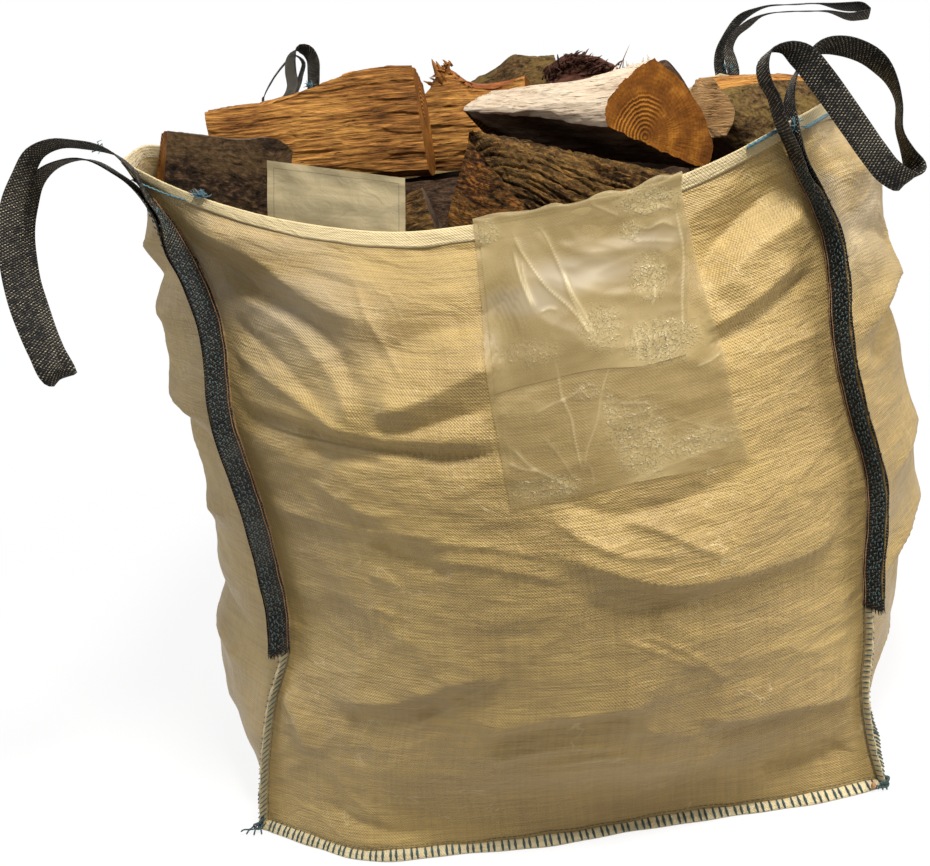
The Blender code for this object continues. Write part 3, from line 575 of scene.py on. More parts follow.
def panel_surface(name, u, v):
    """Points of a side panel at shares u across and v up.

    A row is the chord between its corners plus bulge * (1 - |2u - 1|^square) outwards, which takes
    over from the foot's outline within FOOT_REACH. The rim's sag fades as v^3.
    """
    panel = PANELS[name]
    first, last = (corner_line(corner, v) for corner in panel["ends"])
    bulge = smooth(v, SHARES, np.array(panel["bulge"]) / 1000)[:, 0]
    square = smooth(v, SHARES, panel["square"])[:, 0]
    outward = np.cross(unit((last - first) * (1, 1, 0)), (0, 0, 1))
    outline = 1 - np.abs(2 * u[:, None] - 1) ** square
    foot_at, foot = zip(*panel["foot"])
    sag_at, sag = zip(*panel["rim"])
    foot, sag = smooth(u, foot_at, np.array(foot) / 1000), smooth(u, sag_at, np.array(sag) / 1000)
    share = ease(v, 0, FOOT_REACH)
    points = first + (last - first) * u[:, None, None]
    points = points + outward * (bulge * outline * share + foot * (1 - share))[..., None]
    points[..., 2] -= sag * v**3
    return points


def grid_normals(points):
    """Outward unit normals of a grid whose first axis runs to the right and second runs up."""
    return unit(np.cross(np.gradient(points, axis=0), np.gradient(points, axis=1)))


def fold_height(level, height, folds):
    """Sum of the folds at each place. A fold's places are in millimetres.

    A fold is height * exp(-(d / width)^1.3), where d is the distance from its curve and width is
    the one above or below it, and it dies away over the first and last fifth of its length.
    """
    total = np.zeros_like(level)
    place = np.stack([level, height], -1)
    for points, stand, above, below in folds:
        line = along(np.reshape(points, (-1, 2)) / 1000, 48)
        low, high = line.min(0) - 3 * max(above, below), line.max(0) + 3 * max(above, below)
        near = np.all((place > low) & (place < high), axis=-1)
        if not near.any():
            continue
        gap = place[near][:, None] - line
        distance = np.linalg.norm(gap, axis=-1)
        i = distance.argmin(1)
        pick = np.arange(len(i))
        run = unit(np.gradient(line, axis=0))[i]
        side = run[:, 0] * gap[pick, i, 1] - run[:, 1] * gap[pick, i, 0]
        rightward = np.sign(line[-1, 0] - line[0, 0])
        width = np.where(side * rightward > 0, above, below)
        share = i / (len(line) - 1)
        fade = ease(share, 0, 0.2) * ease(1 - share, 0, 0.2)
        total[near] += FOLD_STRENGTH * stand * fade * np.exp(-((distance[pick, i] / width) ** 1.3))
    return total


def crumple_height(level, height, seed):
    """Small creases all over: ridged noise in a few sizes, each place shifted by a slower noise."""
    total = np.zeros_like(level)
    shift = 0.03 * drift(level * 5, height * 5, seed + 90)
    for k, (waves, size) in enumerate(CRUMPLE):
        x, y = (level + shift) * waves * 0.75, (height + shift) * waves * 1.35
        patch = 0.45 + 0.75 * ease(drift(level * 3.1, height * 3.1, seed + 50 + k), -0.4, 0.6)
        total += size * patch * (ridged(x, y, seed + k) + 0.5 * drift(x * 1.7, y * 1.7, seed + 20 + k))
    return total


def grid_piece(name, points, laid, materials, turned=False, closed=False):
    """A smooth mesh piece from a grid of points (columns, rows, 3).

    laid gives each point's place on the flat stuff. turned flips the faces, and closed joins the
    last row to the first.
    """
    columns, rows = points.shape[:2]
    number = np.arange(columns * rows).reshape(columns, rows)
    if closed:
        number = np.concatenate([number, number[:, :1]], 1)
    quads = np.stack([number[:-1, :-1], number[1:, :-1], number[1:, 1:], number[:-1, 1:]], -1)
    quads = quads.reshape(-1, 4)
    if turned:
        quads = quads[:, ::-1]
    return mesh_piece(name, points.reshape(-1, 3), quads, laid.reshape(-1, 2)[quads], materials)


def mesh_piece(name, points, faces, corners, materials, kinds=None, crease=None):
    """A piece from points, arrays of faces, and a UV place for each face corner, in metres.

    kinds picks each face's material. Edges that bend by more than crease stay sharp.
    """
    if isinstance(faces, np.ndarray):
        faces, corners = [faces], [corners]
    sizes = np.concatenate([np.full(len(part), part.shape[1]) for part in faces])
    mesh = bpy.data.meshes.new(name)
    mesh.vertices.add(len(points))
    mesh.vertices.foreach_set("co", points.astype(np.float32).ravel())
    mesh.loops.add(int(sizes.sum()))
    loops = np.concatenate([part.ravel() for part in faces])
    mesh.loops.foreach_set("vertex_index", loops.astype(np.int32))
    mesh.polygons.add(len(sizes))
    mesh.polygons.foreach_set("loop_start", np.concatenate([[0], np.cumsum(sizes)[:-1]]).astype(np.int32))
    mesh.update(calc_edges=True)
    layer = mesh.uv_layers.new(name="laid")
    flat = np.concatenate([part.reshape(-1, 2) for part in corners])
    layer.data.foreach_set("uv", flat.astype(np.float32).ravel())
    for material in materials:
        mesh.materials.append(material)
    if kinds is not None:
        mesh.polygons.foreach_set("material_index", kinds.astype(np.int32))
    mesh.validate()
    mesh.shade_smooth()
    if crease is not None:
        mesh.set_sharp_from_angle(angle=crease)
    piece = bpy.data.objects.new(name, mesh)
    bpy.context.scene.collection.objects.link(piece)
    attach(piece, "root")
    return piece


def woven_finish(name, gold, shade):
    """Woven tape: satin, with a fine rib along each tape, faint creases, uneven colour and painted sheen."""
    cloth = Finish(name, Roughness=0.46, Specular_IOR_Level=0.42, Sheen_Weight=0.1, Sheen_Roughness=0.45)
    flat = cloth.laid()
    x, y, _ = cloth.apart(flat)
    weft = cloth.math("SINE", y * (2 * math.pi / TAPE_PITCH))
    warp = cloth.math("SINE", x * (2 * math.pi / TAPE_PITCH))
    check = weft * warp
    weave = check * 0.75 + weft * 0.25
    # each tape has its own slight shade, drawn out along it
    tape = cloth.grain((9, 240), 1.0, 2.0, 0.5)
    upright = cloth.grain((240, 7), 1.0, 2.0, 0.5)
    broad = cloth.noise(flat, 5.5, 3.0, 0.55)
    patch = cloth.grain((2.2, 5.0), 1.6, 4.0, 0.6, 0.6)
    tone = tape * 0.34 + upright * 0.24 + broad * 0.3 + patch * 0.34 + weave * 0.055
    colour = cloth.mix(cloth.between(tone, 0.38, 0.84), shade, gold)
    # pale hairlines where the cloth was once folded
    crease = cloth.grain((1, 1.7), 3.4, 4.0, 0.55, 1.2)
    line = 1 - cloth.between(cloth.away(crease, 0.5), 0.0, 0.006)
    seen = cloth.between(cloth.noise(flat, 7.0, 2.0, 0.5), 0.48, 0.6)
    colour = cloth.mix(line * seen * 0.35, colour, CLOTH_HAIRLINE)
    # painted sheen: a greyer patch in a panel's upper left part stands in for the satin cloth's reflection
    # there
    upper_left = cloth.between(x * -1, 0.1, 0.34) * cloth.between(y, 0.64, 0.84)
    painted_sheen = upper_left * cloth.between(patch, 0.34, 0.6)
    colour = cloth.mix(painted_sheen * 0.6, colour, PAINTED_SHEEN_GREY)
    small = cloth.bump(weave, 0.00042)
    wrinkled = cloth.grain((1, 2.6), 13.0, 4.0, 0.58, 0.5)
    # thin crisp creases, more of them low down
    slanted = cloth.grain((0.9, 1.3), 6.0, 1.0, 0.5, 0.3)
    level_run = cloth.grain((0.5, 1.9), 7.0, 1.0, 0.5, 0.3)
    crisp = 2 - cloth.between(cloth.away(slanted, 0.5), 0.0, 0.02)
    crisp = crisp - cloth.between(cloth.away(level_run, 0.5), 0.0, 0.03)
    crisp = crisp * (1.15 - cloth.between(y, 0.25, 0.85)) * cloth.between(broad, 0.4, 0.6)
    medium = cloth.bump(wrinkled * 1.1 + crisp * 0.07 + line * seen * 0.05, 0.0085, 0.7, small)
    gloss = cloth.between(patch + weave * 0.08, 0.3, 0.8, 0.36, 0.52)
    return cloth.set(Base_Color=colour, Roughness=gloss, Normal=medium)


cloth_finish = woven_finish("woven_tape", CLOTH_GOLD, CLOTH_SHADE)
cloth_grids = {}
for number, (panel_name, panel) in enumerate(PANELS.items()):
    columns, rows = panel["grid"]
    u = np.linspace(0, 1, columns)
    v = np.linspace(0, 1, rows)
    skin = panel_surface(panel_name, u, v)
    outward = grid_normals(skin)
    level = skin[..., 0] if panel_name in ("front_panel", "back_panel") else skin[..., 1]
    heights = skin[..., 2]
    folds = [(line, *np.array(sizes) / 1000) for line, *sizes in FOLDS[panel_name]]
    relief = fold_height(level, heights, folds) + crumple_height(level, heights, 7 * number)
    pinned = ease(np.minimum(u, 1 - u), 0, PINNED_ACROSS)[:, None] * ease(v, 0, PINNED_UP)
    free_rim = 1 - STIFFNESS * ease(v, *STIFF_RIM)
    skin = skin + outward * (relief * pinned * free_rim)[..., None]
    cloth_grids[panel_name] = (u, v, skin)
    widths = FIN_NARROW + (FIN_WIDE - FIN_NARROW) * ease(v, *FIN_SHARES) * (1 - ease(v, *FIN_TOP))
    widths = widths - (FIN_NARROW - FIN_RIM) * ease(v, *FIN_TOP)
    sides = []
    for corner, root, sign in ((panel["ends"][0], skin[0], -1), (panel["ends"][1], skin[-1], 1)):
        out = diagonal(corner, v)
        beside = np.cross(out, UPWARD) * sign
        steps = np.array(FIN_STEPS)[:, None, None]
        flutter = FIN_FLUTTER * np.sin(v * 160 + number)[:, None] * beside
        sides.append(root + out * widths[:, None] * steps + beside * FIN_GAP + flutter)
    grid = np.concatenate([sides[0], skin, sides[1][::-1]])
    run = travelled(grid)
    laid = np.stack([run - run.mean(0), np.broadcast_to(heights.mean(0), run.shape)], -1)
    piece = grid_piece(panel_name.replace("panel", "cloth"), grid, laid, [cloth_finish])
    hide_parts(panel_name)

# --- base ---
# A square of the same cloth. Its edge is sewn to the panels' lower edges and stands out as a flange.
BASE_RINGS = 14
BASE_LIFT = 0.0007  # from the floor to its middle
BASE_EDGE_LIFT = 0.0012  # and how much higher its edge is
FLANGE = 0.01
FLANGE_STEPS = (0.35, 0.7, 1.0)  # the grid's rings on the flange, as shares of its width
FLANGE_LIFT = 0.002  # from the floor to the seam
FLANGE_RISE = 0.0006  # and how much higher the flange's edge is
FLANGE_WAVE = 0.0012


def lower_outline():
    """The panels' lower edges as one closed line, with its outward level directions."""
    line, push = [], []
    for name in PANELS:
        _, _, skin = cloth_grids[name]
        edge = skin[2:-2:3, 0]
        line.append(edge)
        push.append(np.cross(unit(np.gradient(edge, axis=0) * (1, 1, 0)), (0, 0, 1)))
        corner = PANELS[name]["ends"][1]
        line.append(corner_line(corner, [0.0]) + diagonal(corner) * 0.002)
        push.append(diagonal(corner))
    return np.concatenate(line), np.concatenate(push)


edge_line, edge_push = lower_outline()
shares = np.linspace(0, 1, BASE_RINGS)[:, None, None]
base_middle = edge_line.mean(0) * (1, 1, 0)
base_grid = base_middle + (edge_line - base_middle) * shares
base_grid[..., 2] = BASE_LIFT + BASE_EDGE_LIFT * ease(shares[..., 0], 0.9, 1.0)
steps = np.array(FLANGE_STEPS)[:, None, None]
wave = FLANGE_WAVE * np.sin(np.arange(len(edge_line)) * 0.37)[None, :, None]
flange_grid = edge_line + edge_push * (FLANGE * steps)
flange_grid[..., 2] = FLANGE_LIFT + FLANGE_RISE * steps[..., 0] + (wave * steps)[..., 0]
base_grid = np.concatenate([base_grid, flange_grid])
base_cloth = grid_piece("base_cloth", base_grid, base_grid[..., :2], [cloth_finish], closed=True)
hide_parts("base_panel")

# --- hem ---
# The panels' upper edges are folded over to the outside and stitched down as a narrow band.
HEM_HEIGHT = 0.021
HEM_THICKNESS = 0.0012
HEM_UNEVENNESS = 0.1  # of its height
HEM_PALE = (0.62, 0.49, 0.265)
HEM_SHADE = (0.54, 0.44, 0.24)
HEM_PROFILE = (  # round the fold: outward in thicknesses and downward in heights from the rim
    (0.0012, 1.0), (1.0, 1.0), (1.25, 0.85), (1.1, 0.5), (1.15, 0.15), (0.9, 0.02), (0.3, -0.06),
    (-0.35, -0.05), (-0.7, 0.06), (-0.7, 0.4), (-0.7, 0.8),
)
hem_finish = woven_finish("hem_tape", HEM_PALE, HEM_SHADE)
hem_profile = np.array(HEM_PROFILE) * (HEM_THICKNESS, HEM_HEIGHT)
for number, panel_name in enumerate(PANELS):
    u, v, skin = cloth_grids[panel_name]
    rim = skin[:, -1]
    down = unit(skin[:, -8] - rim)
    out = grid_normals(skin)[:, -1]
    ripple = 1 + HEM_UNEVENNESS * drift(u * 14, u * 0 + 0.5, 300 + number)
    grid = (
        rim[:, None]
        + out[:, None] * hem_profile[:, 0][:, None]
        + down[:, None] * (hem_profile[:, 1] * ripple[:, None])[..., None]
    )
    laid = laid_flat(travelled(rim), hem_profile[:, 1])
    piece = grid_piece(panel_name.replace("panel", "hem"), grid, laid, [hem_finish])

# --- seams ---
# The raw edges are bound with pale tape and oversewn with dark teal thread: down the corner fins
# below the straps, and all round the flange at the base. A chain stitch runs beside each of them.
BINDING_PALE = (0.72, 0.62, 0.39)
BINDING_SHADE = (0.58, 0.47, 0.26)
BINDING_NEAR = 0.0035  # from the corner to the two sides of the binding on a fin
BINDING_FAR = 0.016
BINDING_LIFT = 0.0021  # from the middle of a fin to the binding's outside
BINDING_PROFILE = (  # round the binding: from the corner in metres, and beside the fin in lifts
    (BINDING_NEAR, 0.8), (BINDING_NEAR + 0.001, 1.0), (BINDING_FAR - 0.002, 1.0), (BINDING_FAR, 0.5),
    (BINDING_FAR, -0.5), (BINDING_FAR - 0.002, -1.0), (BINDING_NEAR + 0.001, -1.0), (BINDING_NEAR, -0.8),
)
BINDING_STEP = 0.004  # flat width of the tape between two points of a profile
BINDING_TOP = 0.31  # share of the height to which a fin is bound, inside the strap's frayed ends
FLANGE_PROFILE = (  # outwards from the panels' foot and above the floor, round the binding
    (-0.0015, 0.0108), (0.0012, 0.0116), (0.0034, 0.0106), (0.0074, 0.0074), (0.0108, 0.0044),
    (0.0122, 0.0024), (0.0112, 0.0008), (0.006, 0.0009), (0.001, 0.003),
)
FLANGE_PITCH = 0.0102
WHIP_PITCH = 0.0086
WHIP_RADIUS = 0.00125
FLANGE_WHIP_RADIUS = WHIP_RADIUS * 1.7
WHIP_SLANT = 0.0042
CHAIN_PITCH = 0.0075
CHAIN_RADIUS = 0.0006
TEAL_DARK = (0.01, 0.034, 0.034)
TEAL_LIGHT = (0.03, 0.09, 0.095)
TEAL_BRIGHT_DARK = (0.022, 0.08, 0.11)
TEAL_BRIGHT_LIGHT = (0.07, 0.2, 0.25)


def thread_finish(name, dark, light):
    """Twisted thread: two shades of one colour in fine slanting stripes, and a soft sheen."""
    thread = Finish(name, Roughness=0.6, Sheen_Weight=0.3)
    fine = thread.noise(thread.place(), 420.0, 3.0, 0.6)
    slow = thread.noise(thread.place(), 60.0, 2.0, 0.5)
    tone = thread.between(fine * 0.6 + slow * 0.4, 0.36, 0.66)
    return thread.set(Base_Color=thread.mix(tone, dark, light), Normal=thread.bump(fine, 0.0008))


STITCH_RINGS = ((0.0, 0.55), (0.5, 1.0), (1.0, 0.55))
CORD_CAP = 0.3  # share of a cord's thickness at its two ends


def bars(name, starts, ends, lift, radius, finish, rings=STITCH_RINGS, slot="webbing"):
    """Many short four-sided bars, one for each stitch.

    A bar bows by lift * 4t(1 - t), and rings gives the places t and the share of the radius there.
    """
    starts, ends = np.asarray(starts, float), np.asarray(ends, float)
    lift = np.broadcast_to(lift, starts.shape)
    run = unit(ends - starts)
    first = unit(np.cross(run, lift))
    second = np.cross(first, run)
    ways = [first, second, -first, -second]
    points = np.stack([
        np.stack([starts + (ends - starts) * t + lift * 4 * t * (1 - t) + way * radius * share
                  for way in ways], 1)
        for t, share in rings
    ], 1)
    number = np.arange(4 * len(rings)).reshape(-1, 4)
    beside = np.roll(number, -1, axis=1)
    bar = np.stack([number[:-1], beside[:-1], beside[1:], number[1:]], -1).reshape(-1, 4)
    bar = np.concatenate([bar, number[:1, ::-1], number[-1:]])
    faces = (bar + (np.arange(len(starts)) * 4 * len(rings))[:, None, None]).reshape(-1, 4)
    corners = np.broadcast_to(np.array([(0, 0), (1, 0), (1, 1), (0, 1)]) * 0.001, (len(faces), 4, 2))
    piece = mesh_piece(name, points.reshape(-1, 3), faces, corners, [finish])
    return piece


def cord(name, line, radius, finish, sides=5):
    """A round thread along a line, closed by small caps. radius may change along it."""
    line = np.asarray(line, float)
    run = unit(np.gradient(line, axis=0))
    across = np.zeros_like(line)
    across[0] = unit(np.cross(run[0], (0.3, 0.5, 0.81)))
    for i in range(1, len(line)):
        across[i] = unit(across[i - 1] - run[i] * (across[i - 1] @ run[i]))
    other = np.cross(run, across)
    size = np.broadcast_to(np.asarray(radius, float), len(line)).copy()
    size[[0, -1]] *= CORD_CAP
    angle = np.arange(sides) * 2 * np.pi / sides
    ring = across[:, None] * np.cos(angle)[:, None] + other[:, None] * np.sin(angle)[:, None]
    points = (line[:, None] + ring * size[:, None, None]).reshape(-1, 3)
    number = np.arange(len(points)).reshape(len(line), sides)
    beside = np.roll(number, -1, axis=1)
    faces = np.stack([number[:-1], beside[:-1], beside[1:], number[1:]], -1).reshape(-1, 4)
    caps = np.stack([number[0, ::-1], number[-1]])
    laid = laid_flat(travelled(line), angle * 0.001).reshape(-1, 2)
    piece = mesh_piece(name, points, [faces, caps], [laid[faces], laid[caps]], [finish])
    return piece


teal_thread = thread_finish("teal_thread", TEAL_DARK, TEAL_LIGHT)
teal_bright = thread_finish("teal_thread_bright", TEAL_BRIGHT_DARK, TEAL_BRIGHT_LIGHT)
binding_finish = woven_finish("binding_tape", BINDING_PALE, BINDING_SHADE)
for corner in CORNERS:
    out = diagonal(corner)
    beside = np.cross(out, UPWARD)
    shares = np.linspace(0, BINDING_TOP, 90)
    root = corner_line(corner, shares)
    wavy = 1 + 0.06 * np.sin(shares * 200) + 0.05 * np.sin(shares * 517)
    grid = np.stack([
        root + out * (reach * wavy)[:, None] + beside * BINDING_LIFT * lift
        for reach, lift in BINDING_PROFILE
    ], 1)
    laid = laid_flat(travelled(root), np.arange(len(BINDING_PROFILE)) * BINDING_STEP)
    grid_piece(corner + "_binding", grid, laid, [binding_finish], turned=True)
    heights = np.arange(0.006, BINDING_TOP - 0.003, WHIP_PITCH)
    stitches = []
    for face in (1, -1):
        root = corner_line(corner, heights)
        jitter = 0.0009 * np.sin(np.arange(len(heights)) * 2.3 + face)[:, None]
        on = beside * face * (BINDING_LIFT + 0.0004)
        start = root + out * (BINDING_NEAR + 0.0005 + jitter) + on
        end = root + out * (BINDING_FAR + 0.0006) + on * 0.6 + UPWARD * WHIP_SLANT * face
        stitches.append((start, end, np.broadcast_to(beside * face * 0.0006, root.shape)))
    bars(corner + "_whip", *map(np.concatenate, zip(*stitches)), WHIP_RADIUS, teal_thread)
    heights = np.arange(0.006, BINDING_TOP - 0.01, CHAIN_PITCH)
    for face, label in ((1, "near"), (-1, "far")):
        on = beside * face * (FIN_GAP + 0.0016) + out * 0.0012
        root = corner_line(corner, heights) + on
        ends = corner_line(corner, heights + CHAIN_PITCH * 0.74) + on
        bars(corner + "_chain_" + label, root, ends, beside * face * 0.0005, CHAIN_RADIUS, teal_thread)

run = travelled(edge_line)
uneven = 1 + 0.1 * np.sin(run * 31) + 0.06 * np.sin(run * 83 + 1)
grid = np.stack([
    edge_line * (1, 1, 0) + edge_push * (reach * uneven)[:, None] + UPWARD * (rise * uneven)[:, None]
    for reach, rise in FLANGE_PROFILE
], 1)
laid = laid_flat(run, np.arange(len(FLANGE_PROFILE)) * BINDING_STEP)
closed_grid = np.concatenate([grid, grid[:1]])
closed_laid = np.concatenate([laid, laid[-1:] + (0.006, 0)])
grid_piece("flange_binding", closed_grid, closed_laid, [binding_finish])


def at_flange(where, reach, rise):
    """Places beside the foot at distances along it, outwards of it and above the floor."""
    middle = read_line(where, run, edge_line) * (1, 1, 0)
    outwards = unit(read_line(where, run, edge_push))
    size = np.interp(where, run, uneven)[:, None]
    return middle + outwards * reach * size + UPWARD * rise * size


where = np.arange(0.004, run[-1], FLANGE_PITCH)
where = where + 0.0012 * np.sin(where * 391)
bars("flange_whip", at_flange(where, 0.0006, 0.0122), at_flange(where + 0.0014, 0.0128, 0.0032),
     at_flange(where, 0.0009, 0.0009) - at_flange(where, 0, 0), FLANGE_WHIP_RADIUS, teal_thread)
where = np.arange(0.004, run[-1], CHAIN_PITCH)
bars("flange_chain", at_flange(where, 0.0006, 0.0165), at_flange(where + CHAIN_PITCH * 0.8, 0.0006, 0.0165),
     at_flange(where, 0.0006, 0) - at_flange(where, 0, 0), CHAIN_RADIUS, teal_thread)

# --- lift straps ---
# One length of black webbing for each corner, flecked with beige yarn. It is folded over the fin,
# so that its two legs are sewn to the fin's faces and the rest makes a limp loop.
WEBBING_WIDTH = 0.034
WEBBING_THICKNESS = 0.0017
LEG_INSET = 0.0025
LEG_OFFSET = 0.0031  # from the middle of the fin to the middle of a leg
STRAP_SHARES = (0.295, 0.955)
LEG_POINTS = 26
STRAP_RINGS = 340
WEBBING_WAVE = 0.0008  # of its edges
FLECK_COLUMN = 0.0034  # from one column of flecks to the next across the webbing
FLECK_ROW = 0.0044  # and from one fleck to the next along it
FLECK_SLANT = 0.36  # of a row from column to column
WEBBING_BLACK = (0.006, 0.006, 0.007)
WEBBING_WORN = (0.022, 0.021, 0.021)
WEBBING_FLECK = (0.52, 0.46, 0.32)
# Along each loop: the middle's place in millimetres, and the webbing's cross direction in hundredths.
LOOPS = {
    "front_left": (
        (-417, -454, 1012, 12, -97, 20), (-433, -461, 1038, 2, -94, 34), (-472, -470, 1056, -5, -90, 43),
        (-500, -475, 1063, -10, -90, 42), (-526, -478, 1056, -30, -88, 36), (-551, -480, 1031, -50, -84, 20),
        (-574, -481, 996, -62, -78, 5), (-588, -481, 952, -70, -71, 0), (-596, -481, 907, -73, -68, -5),
        (-595, -481, 853, -76, -64, -10), (-587, -481, 804, -80, -56, -20), (-578, -477, 766, -84, -48, -25),
        (-573, -464, 760, -84, -48, -25), (-583, -458, 796, -80, -57, -20), (-590, -455, 847, -76, -64, -10),
        (-592, -454, 898, -73, -68, -5), (-586, -452, 948, -70, -71, 0), (-573, -448, 986, -60, -80, 0),
        (-552, -445, 1017, -40, -91, 10), (-525, -441, 1035, -15, -97, 18), (-498, -439, 1038, -2, -98, 18),
        (-468, -438, 1030, 5, -99, 14), (-440, -440, 1008, 12, -99, 10),
    ),
    "front_right": (
        (391, -450, 966, 36, -93, 0), (386, -450, 986, 34, -94, 5), (378, -452, 1008, 36, -93, 5),
        (378, -452, 1028, 28, -95, 10), (387, -450, 1041, 10, -97, 20), (406, -448, 1042, 25, -88, 40),
        (425, -444, 1027, 72, -40, 56), (444, -440, 1001, 82, -20, 53), (464, -436, 968, 84, -15, 52),
        (484, -432, 934, 84, -12, 52), (504, -428, 900, 83, -12, 54), (523, -424, 873, 80, -20, 56),
        (545, -418, 858, 72, -40, 56), (556, -406, 868, 70, -60, 30), (549, -402, 895, 30, -95, 5),
        (542, -400, 922, 6, -99, 0), (542, -399, 954, 4, -99, 5), (536, -399, 980, 20, -95, 22),
        (522, -400, 1002, 30, -78, 54), (502, -401, 1020, 22, -70, 68), (480, -402, 1031, 10, -70, 70),
        (456, -403, 1033, 0, -82, 57), (435, -404, 1024, -10, -97, 20), (420, -407, 1006, -5, -99, 0),
        (411, -413, 980, 20, -98, 0),
    ),
    "back_right": (
        (407, 446, 985, 62, 78, 0), (412, 447, 1008, 55, 83, 0), (430, 447, 1036, 50, 85, -20),
        (456, 445, 1058, 45, 86, -30), (486, 442, 1069, 20, 97, -15), (532, 436, 1068, 12, 99, -2),
        (589, 430, 1061, 15, 98, -5), (640, 424, 1048, 5, 85, -45), (668, 421, 1041, 5, 83, -50),
        (676, 416, 1032, 5, 83, -50), (652, 412, 1030, 5, 85, -45), (600, 420, 1046, 10, 98, -8),
        (538, 426, 1055, 12, 99, -2), (488, 430, 1056, 20, 97, -10), (463, 433, 1044, 45, 87, -25),
        (436, 436, 1028, 50, 85, -15), (425, 436, 1006, 60, 80, 0), (427.5, 435.5, 985, 68, 73, 0),
        (429.5, 436, 966, 71, 71, 0),
    ),
    "back_left": (
        (-358, 450, 1058, -80, 60, 0), (-352, 448, 1082, -80, 60, 5), (-350, 444, 1105, -80, 58, -10),
        (-358, 440, 1123, -75, 58, -30), (-372, 436, 1128, -60, 70, -35), (-386, 433, 1115, -70, 70, -10),
        (-392, 431, 1090, -78, 62, 0), (-395, 430, 1062, -78, 62, 0), (-414, 424, 1038, -60, 80, 0),
        (-440, 448, 1022, -30, 95, 0), (-464, 464, 1042, -20, 98, 5), (-443, 474, 1075, -20, 97, 10),
        (-414, 482, 1104, -20, 97, 10), (-391, 486, 1116, -30, 95, 5), (-378, 486, 1102, -40, 90, 0),
        (-388, 476, 1072, -45, 89, 0), (-402, 458, 1045, -60, 80, 0), (-411, 440, 1021, -70, 71, 0),
        (-409.5, 436, 1010, -71, 71, 0),
    ),
}


def strap_path(corner):
    """Middle line and cross direction of a strap: up one face of the fin, round, and down the other."""
    shares = np.linspace(*STRAP_SHARES, LEG_POINTS)
    out = diagonal(corner, shares)
    side = np.cross(out, UPWARD)
    leg = corner_line(corner, shares) + out * (LEG_INSET + WEBBING_WIDTH / 2)
    off = side * LEG_OFFSET * (1 if corner in ("front_left", "back_right") else -1)
    loop = np.array(LOOPS[corner])
    middle = np.concatenate([leg - off, loop[:, :3] / 1000, (leg + off)[::-1]])
    across = np.concatenate([out, unit(loop[:, 3:] / 100), out[::-1]])
    at = travelled(middle)
    where = np.linspace(0, at[-1], STRAP_RINGS)
    line = smooth(where, at, middle)
    run = unit(np.gradient(line, axis=0))
    width = smooth(where, at, across)
    width = unit(width - run * (width * run).sum(-1, keepdims=True))
    return line, width, np.cross(run, width), where


def webbing_finish():
    """Black webbing in a coarse twill: short beige flecks in rows that slant across it."""
    webbing = Finish("flecked_webbing", Roughness=0.62, Specular_IOR_Level=0.22)
    x, y, _ = webbing.apart(webbing.laid())
    column = y * (1 / FLECK_COLUMN)
    whole = webbing.math("FLOOR", column)
    row = x * (1 / FLECK_ROW) + whole * FLECK_SLANT
    gaps = [webbing.away(webbing.math("FRACT", value), 0.5) for value in (column, row)]
    fleck = (1 - webbing.between(gaps[0], 0.26, 0.44)) * (1 - webbing.between(gaps[1], 0.09, 0.2))
    wear = webbing.noise(webbing.laid(), 130.0, 3.0, 0.6)
    light = webbing.noise(webbing.laid(), 9.0, 3.0, 0.6)
    fleck = fleck * webbing.between(wear + light * 0.6, 0.62, 0.98)
    fleck = fleck * webbing.between(x, 0.55, 0.66, 0.4, 1.0)  # duller on the first leg
    ribs = webbing.math("SINE", x * (2 * math.pi / 0.0029) + y * 500.0)
    ground = webbing.mix(webbing.between(light, 0.4, 0.66), WEBBING_BLACK, WEBBING_WORN)
    colour = webbing.mix(fleck * 0.85, ground, WEBBING_FLECK)
    return webbing.set(Base_Color=colour, Normal=webbing.bump(ribs * 0.4 + fleck + wear * 0.5, 0.0007))


webbing_black = webbing_finish()
# Round the webbing: one face, a rolled edge, the other face, and the other edge.
band = np.array([-1.0, -0.97, -0.6, -0.2, 0.2, 0.6, 0.97, 1.0, 1.0, 0.97, 0.6, 0.2, -0.2, -0.6, -0.97, -1.0])
band_side = np.array([0.5, 1, 1, 1, 1, 1, 1, 0.5, -0.5, -1, -1, -1, -1, -1, -1, -0.5])
for corner in LOOPS:
    line, width, face, where = strap_path(corner)
    edge_wave = WEBBING_WAVE * np.sin(where * 90)[:, None] * np.abs(band) ** 3
    grid = (
        line[:, None]
        + width[:, None] * (band * WEBBING_WIDTH / 2)[:, None]
        + face[:, None] * (band_side * WEBBING_THICKNESS / 2 + edge_wave)[..., None]
    )
    across_laid = np.where(band_side > 0, band, 3 - band) * WEBBING_WIDTH / 2
    laid = laid_flat(where, across_laid)
    webbing = grid_piece(corner + "_webbing", grid, laid, [webbing_black], closed=True, turned=True)
    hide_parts(corner + "_strap")

# --- strap stitching ---
# The legs are sewn through the fin with columns of teal stitches on their outer half, and two tan
# threads run along the front ones' inner edges. Loose ends of teal thread stick out of the seams.
COLUMN_PLACES = (-0.22, 0.18, 0.52, 0.84)  # across the outer part, in half widths from the middle
COLUMN_PITCH = 0.0076
COLUMN_LENGTH = 0.0046
COLUMN_RADIUS = 0.0011
TAN_DARK = (0.2, 0.075, 0.02)
TAN_LIGHT = (0.52, 0.3, 0.13)
STITCH_DARK = (0.008, 0.026, 0.03)
STITCH_LIGHT = (0.045, 0.125, 0.14)
EDGE_THREADS = (0.0006, 0.0046)  # from a leg's inner edge to each tan thread
EDGE_RADIUS = 0.0006
FRAY_COUNT = 26
FRAY_LENGTH = (0.003, 0.008)  # the shortest thread, and how much longer the longest is
FRAY_RADIUS = 0.0007
FRAY_RINGS = ((0.0, 1.0), (0.6, 0.8), (1.0, 0.3))
LEG_FACE = LEG_OFFSET + WEBBING_THICKNESS / 2 + 0.0003  # from the middle of the fin to the stitches
